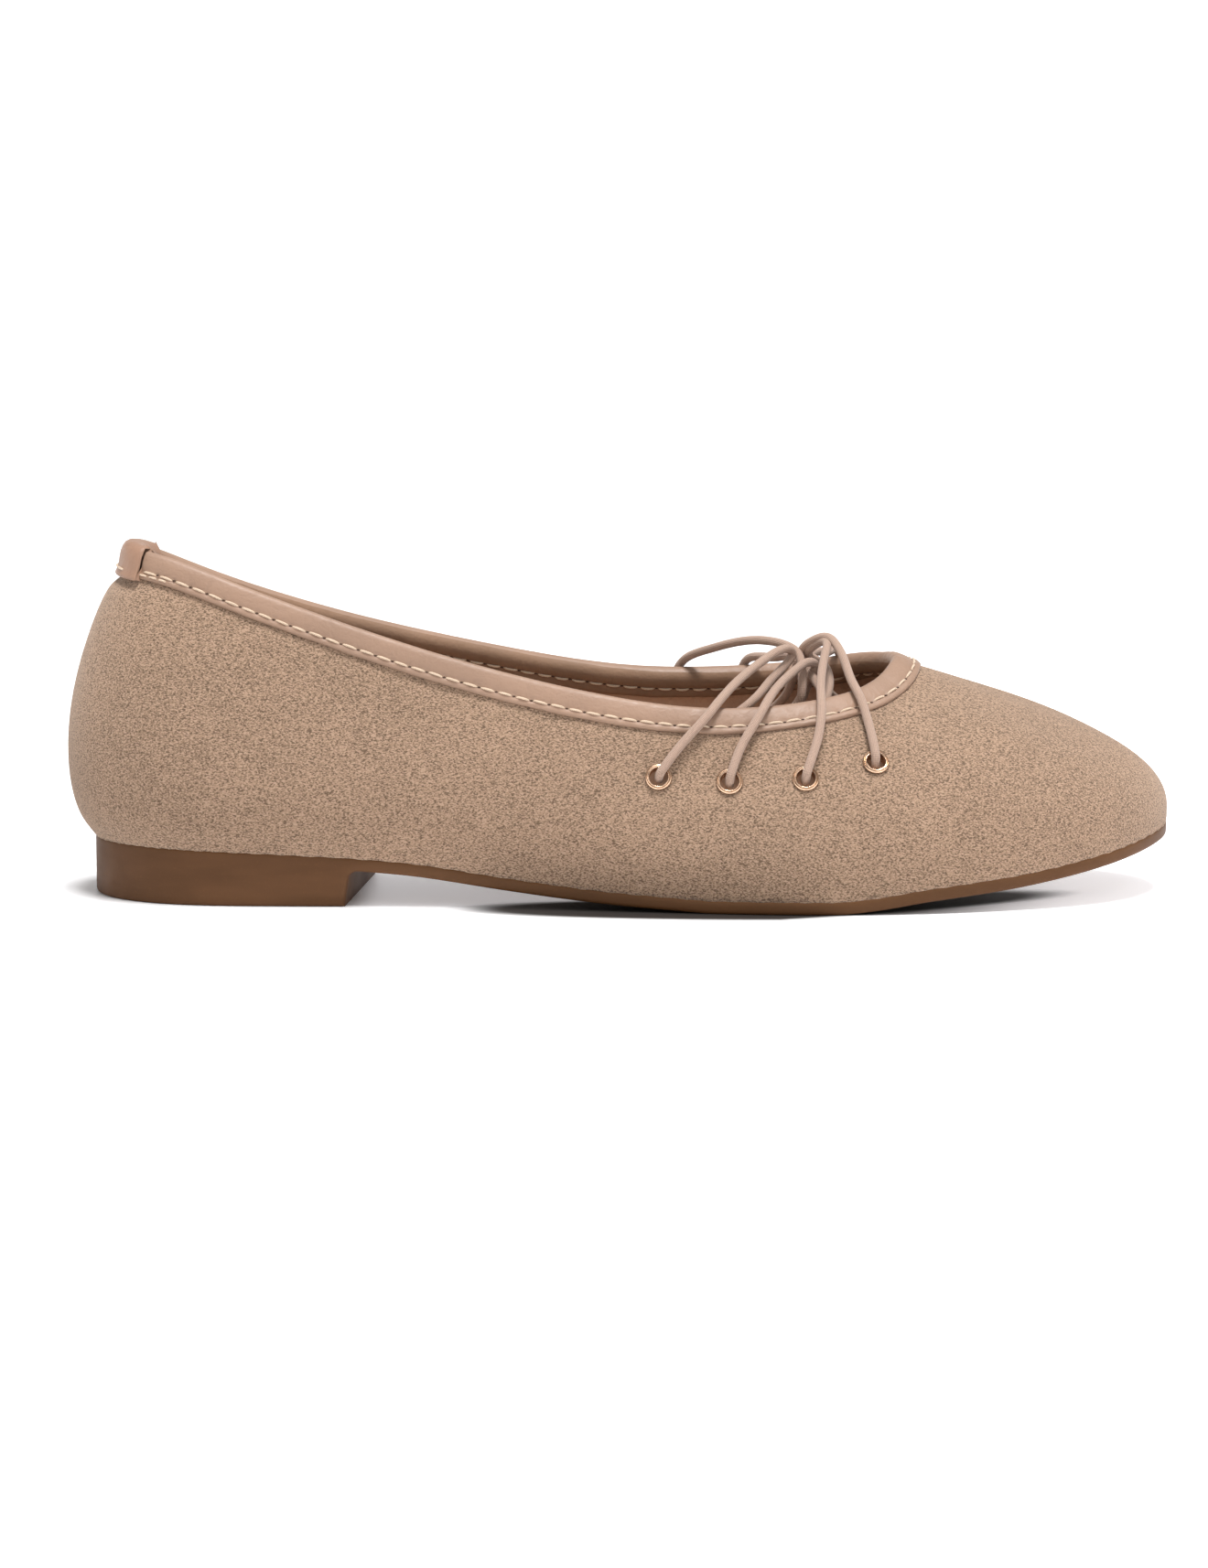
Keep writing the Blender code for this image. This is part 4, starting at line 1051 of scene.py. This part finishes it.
def build_needle_holes(material):
    """A small dark dimple between stitches, outside and inside: painted shade in each needle hole."""
    meshes = []
    shape = Matrix.Diagonal((0.26 * MM, 0.42 * MM, 0.14 * MM, 1.0))
    for number in range(STITCHES):
        place = number * STITCH_PITCH
        if min(place, TOPLINE - place) < TAB_WIDTH / 2 + 0.6 * MM:
            continue
        for inside in (False, True):
            surface = Surface([float(station_at(place))])
            row = INNER_ROW * MM if inside else OUTER_ROW * MM + band_spread(surface.stations)[0] * 0.68
            centre, normal = surface.at(row)
            level = -2.70 if inside else 0.70
            turn = Vector(normal[0]).to_track_quat("Z", "X").to_matrix().to_4x4()
            shift = Matrix.Translation(Vector(centre[0] + normal[0] * level * MM))
            meshes.append(formed_mesh(bmesh.ops.create_icosphere, shift @ turn @ shape,
                                      subdivisions=1, radius=1.0))
    new_object("needle_dimples", merge_meshes(meshes), material)


# Eyelets

def eyelet_matrix(station, below):
    """A matrix whose Z runs out of the wall at an eyelet, with its origin on the outer face."""
    point, normal = Surface([station]).at(below)
    turn = Vector(normal[0]).to_track_quat("Z", "Y")
    return Matrix.Translation(Vector(point[0])) @ turn.to_matrix().to_4x4()


def build_eyelets(material):
    """Rolled metal rings: a domed flange outside, a barrel through the wall, a turned rim inside."""
    profile = [(2.02, -2.46), (2.02, -1.2), (2.02, 0.10), (2.04, 0.26), (2.11, 0.40), (2.21, 0.49),
               (2.32, 0.46), (2.42, 0.28), (2.52, 0.30), (2.64, 0.44), (2.80, 0.38), (2.89, 0.25),
               (2.94, 0.10), (2.95, -0.08), (2.88, -0.14), (2.42, -0.12), (2.36, -1.0), (2.36, -2.02),
               (2.80, -2.06), (2.86, -2.22), (2.76, -2.42), (2.42, -2.52), (2.16, -2.52)]
    segments = 56
    for side, number, station, below in eyelet_list():
        matrix = eyelet_matrix(station, below)
        rings = []
        for step in range(segments):
            turn = 2.0 * math.pi * step / segments
            rings.append([tuple(matrix @ Vector((radius * MM * math.cos(turn),
                                                 radius * MM * math.sin(turn), height * MM)))
                          for radius, height in profile])
        new_object(f"eyelet_ring_{side}_{number + 1}", grid_mesh(rings), material,
                   (f"eyelet_{side}_{number + 1}",), smooth_angle=60.0)


# Sole and footbed

def foot_outline(grow):
    """Edges of a plate larger than the wall's foot by grow, and its first and last places along."""
    fine = np.linspace(0.0, len(SECTIONS), 1920, endpoint=False)
    wall = Wall(fine)
    edge = wall.foot + wall.foot_out * grow
    along = edge[:, 0] + HEEL_CENTRE_ALONG
    across = edge[:, 1]
    back = int(np.argmin(along))
    toe = int(np.argmax(along))
    order = np.arange(len(fine))
    lateral = np.roll(order, -back)[: (toe - back) % len(fine) + 1]
    medial = np.roll(order, -toe)[: (back - toe) % len(fine) + 1]

    def edges(place):
        left = np.interp(place, along[lateral], across[lateral])
        right = np.interp(place, along[medial][::-1], across[medial][::-1])
        return left, right

    return edges, along[back], along[toe]


def plate_shape(levels, shares, columns, relief):
    """A closed plate from levels, bottom to top: each an outline and a height at a place along.

    The first and last levels are filled by a grid with columns across, raised by the relief.
    """
    points, faces = [], []
    loops = []
    for (edges, first, last), height in levels:
        place = first + shares * (last - first)
        leaned = place + slant(place)
        start = len(points)
        points.extend(zip(place - HEEL_CENTRE_ALONG, edges(place)[0], height(place, place)))
        points.extend(zip(leaned - HEEL_CENTRE_ALONG, edges(leaned)[1], height(place, leaned)))
        count = len(place)
        lateral = [start + step for step in range(count)]
        medial = [start + count + step for step in range(count)]
        loops.append((lateral, medial))
    for lower, upper in zip(loops, loops[1:]):
        low = [*lower[0], *lower[1][::-1]]
        high = [*upper[0], *upper[1][::-1]]
        for step in range(len(low)):
            following = (step + 1) % len(low)
            faces.append((low[step], low[following], high[following], high[step]))
    for number, turned in ((0, True), (-1, False)):
        lateral, medial = loops[number]
        grid = [lateral]
        for column in range(1, columns):
            part = column / columns
            row = []
            for a, b in zip(lateral, medial):
                pa, pb = np.asarray(points[a]), np.asarray(points[b])
                spot = pa + (pb - pa) * part
                spot[2] += relief(spot[0] + HEEL_CENTRE_ALONG, spot[1], part,
                                  abs(pb[1] - pa[1]), number == 0)
                row.append(len(points))
                points.append(tuple(spot))
            grid.append(row)
        grid.append(medial)
        for near, far in zip(grid, grid[1:]):
            for step in range(len(near) - 1):
                face = (near[step], near[step + 1], far[step + 1], far[step])
                faces.append(face[::-1] if turned else face)
    return outward_mesh([tuple(float(v) for v in point) for point in points], faces)


def build_outsole(material):
    """The moulded sole with rounded edges and a shallow tread on its flat spots."""
    def underside(place, spot):
        plate = plate_underside(spot)
        past = np.clip(place - BREAST_ALONG, 0.0, BREAST_FILLET)
        fillet = BREAST_FILLET - np.sqrt(BREAST_FILLET ** 2 - (BREAST_FILLET - past) ** 2)
        return np.where(place <= BREAST_ALONG, 0.0, plate - np.minimum(fillet, plate))

    _, first, last = foot_outline(SOLE_LEDGE)
    ends = (1.0 - np.cos(np.linspace(0.0, math.pi, 330))) / 2
    breast = (BREAST_ALONG - first) / (last - first)
    extra = breast + np.array([0.0, 0.0003, 0.0007, 0.0012, 0.0018, 0.0025, 0.0034]) / (last - first)
    shares = np.array(sorted([*[s for s in ends[1:-1] if np.abs(extra - s).min() > 0.0009], *extra]))

    def outline(grow):
        return foot_outline(grow * MM)

    def raised(lift):
        return lambda place, spot: underside(place, spot) + lift * MM

    def lowered(drop):
        return lambda place, spot: plate_top(spot) - drop * MM

    levels = [(outline(-0.55), raised(0.0)), (outline(-0.15), raised(0.05)), (outline(0.14), raised(0.22)),
              (outline(0.30), raised(0.50)), (outline(0.38), raised(0.85)),
              (outline(0.42), lowered(1.0)), (outline(0.40), lowered(0.40)), (outline(0.28), lowered(0.12)),
              (outline(0.02), lowered(0.0)), (outline(-1.0), lowered(0.0))]

    def relief(place, across, part, width, bottom):
        if not bottom:
            return 0.0
        margin = min(part, 1.0 - part) * width
        if margin < 4.5 * MM:
            return 0.0
        fade = min(1.0, (margin - 4.5 * MM) / (0.8 * MM))
        along = place / LENGTH
        if 0.035 < along < 0.245:
            zone = min(1.0, (along - 0.035) / 0.006, (0.245 - along) / 0.006)
        elif 0.52 < along < 0.93:
            zone = min(1.0, (along - 0.52) / 0.01, (0.93 - along) / 0.01)
        else:
            return 0.0
        wave = place + 1.2 * MM * math.sin(across / (5.5 * MM) * math.pi)
        groove = abs(((wave / (3.6 * MM)) % 1.0) - 0.5) * 2.0
        depth = min(1.0, max(0.0, (0.46 - groove) / 0.16))
        return depth * fade * zone * 0.55 * MM

    new_object("outsole_moulding", plate_shape(levels, shares, 72, relief), material,
               ("outsole",), smooth_angle=55.0)


def build_footbed(material):
    """The cushioned footbed with a rolled edge and a shallow seat for the heel."""
    ends = (1.0 - np.cos(np.linspace(0.0, math.pi, 150))) / 2
    shares = ends[1:-1]
    grow = -(WALL + INSOLE_INSET)

    def level(lift):
        return lambda place, spot: plate_top(spot) + CLEARANCE + lift

    thick = INSOLE_THICKNESS
    levels = [(foot_outline(grow - 0.3 * MM), level(0.0)), (foot_outline(grow), level(0.3 * MM)),
              (foot_outline(grow), level(thick - 0.7 * MM)),
              (foot_outline(grow - 0.25 * MM), level(thick - 0.25 * MM)),
              (foot_outline(grow - 0.8 * MM), level(thick))]

    def relief(place, across, part, width, bottom):
        if bottom:
            return 0.0
        margin = min(part, 1.0 - part) * width
        inner = min(1.0, margin / (7.0 * MM))
        heel = math.exp(-((place - 0.036) / 0.026) ** 2)
        ball = math.exp(-((place - 0.165) / 0.040) ** 2)
        arch = math.exp(-((place - 0.100) / 0.030) ** 2) * max(0.0, across / 0.03)
        return (0.35 - 0.55 * heel - 0.30 * ball + 0.35 * arch) * inner * MM

    new_object("footbed", plate_shape(levels, shares, 36, relief), material,
               ("insole",), smooth_angle=60.0)


def build_all():
    bpy.context.scene.view_settings.view_transform = "Standard"
    build_camera()
    build_light()
    build_floor()
    build_cords(cord_finish())
    build_outsole(rubber_finish())
    build_footbed(cloth_finish("footbed_sock", (0.400, 0.262, 0.184)))
    build_upper(suede_finish())
    build_lining(cloth_finish("lining_soft", (0.500, 0.325, 0.225)))
    # the binding's inner face is a darker, duller copy of its leather: painted shade
    build_binding(leather_finish("binding_smooth_leather", (0.292, 0.184, 0.126), 0.50),
                  leather_finish("binding_inner_shaded_leather", (0.232, 0.138, 0.086), 0.62, shine=0.14))
    build_tab(leather_finish("tab_smooth_leather", (0.292, 0.170, 0.112), 0.50, wrinkle=0.25))
    build_stitches(thread_finish())
    build_needle_holes(leather_finish("needle_dimple_shade", (0.060, 0.032, 0.020), 0.85))
    build_eyelets(metal_finish())


build_all()
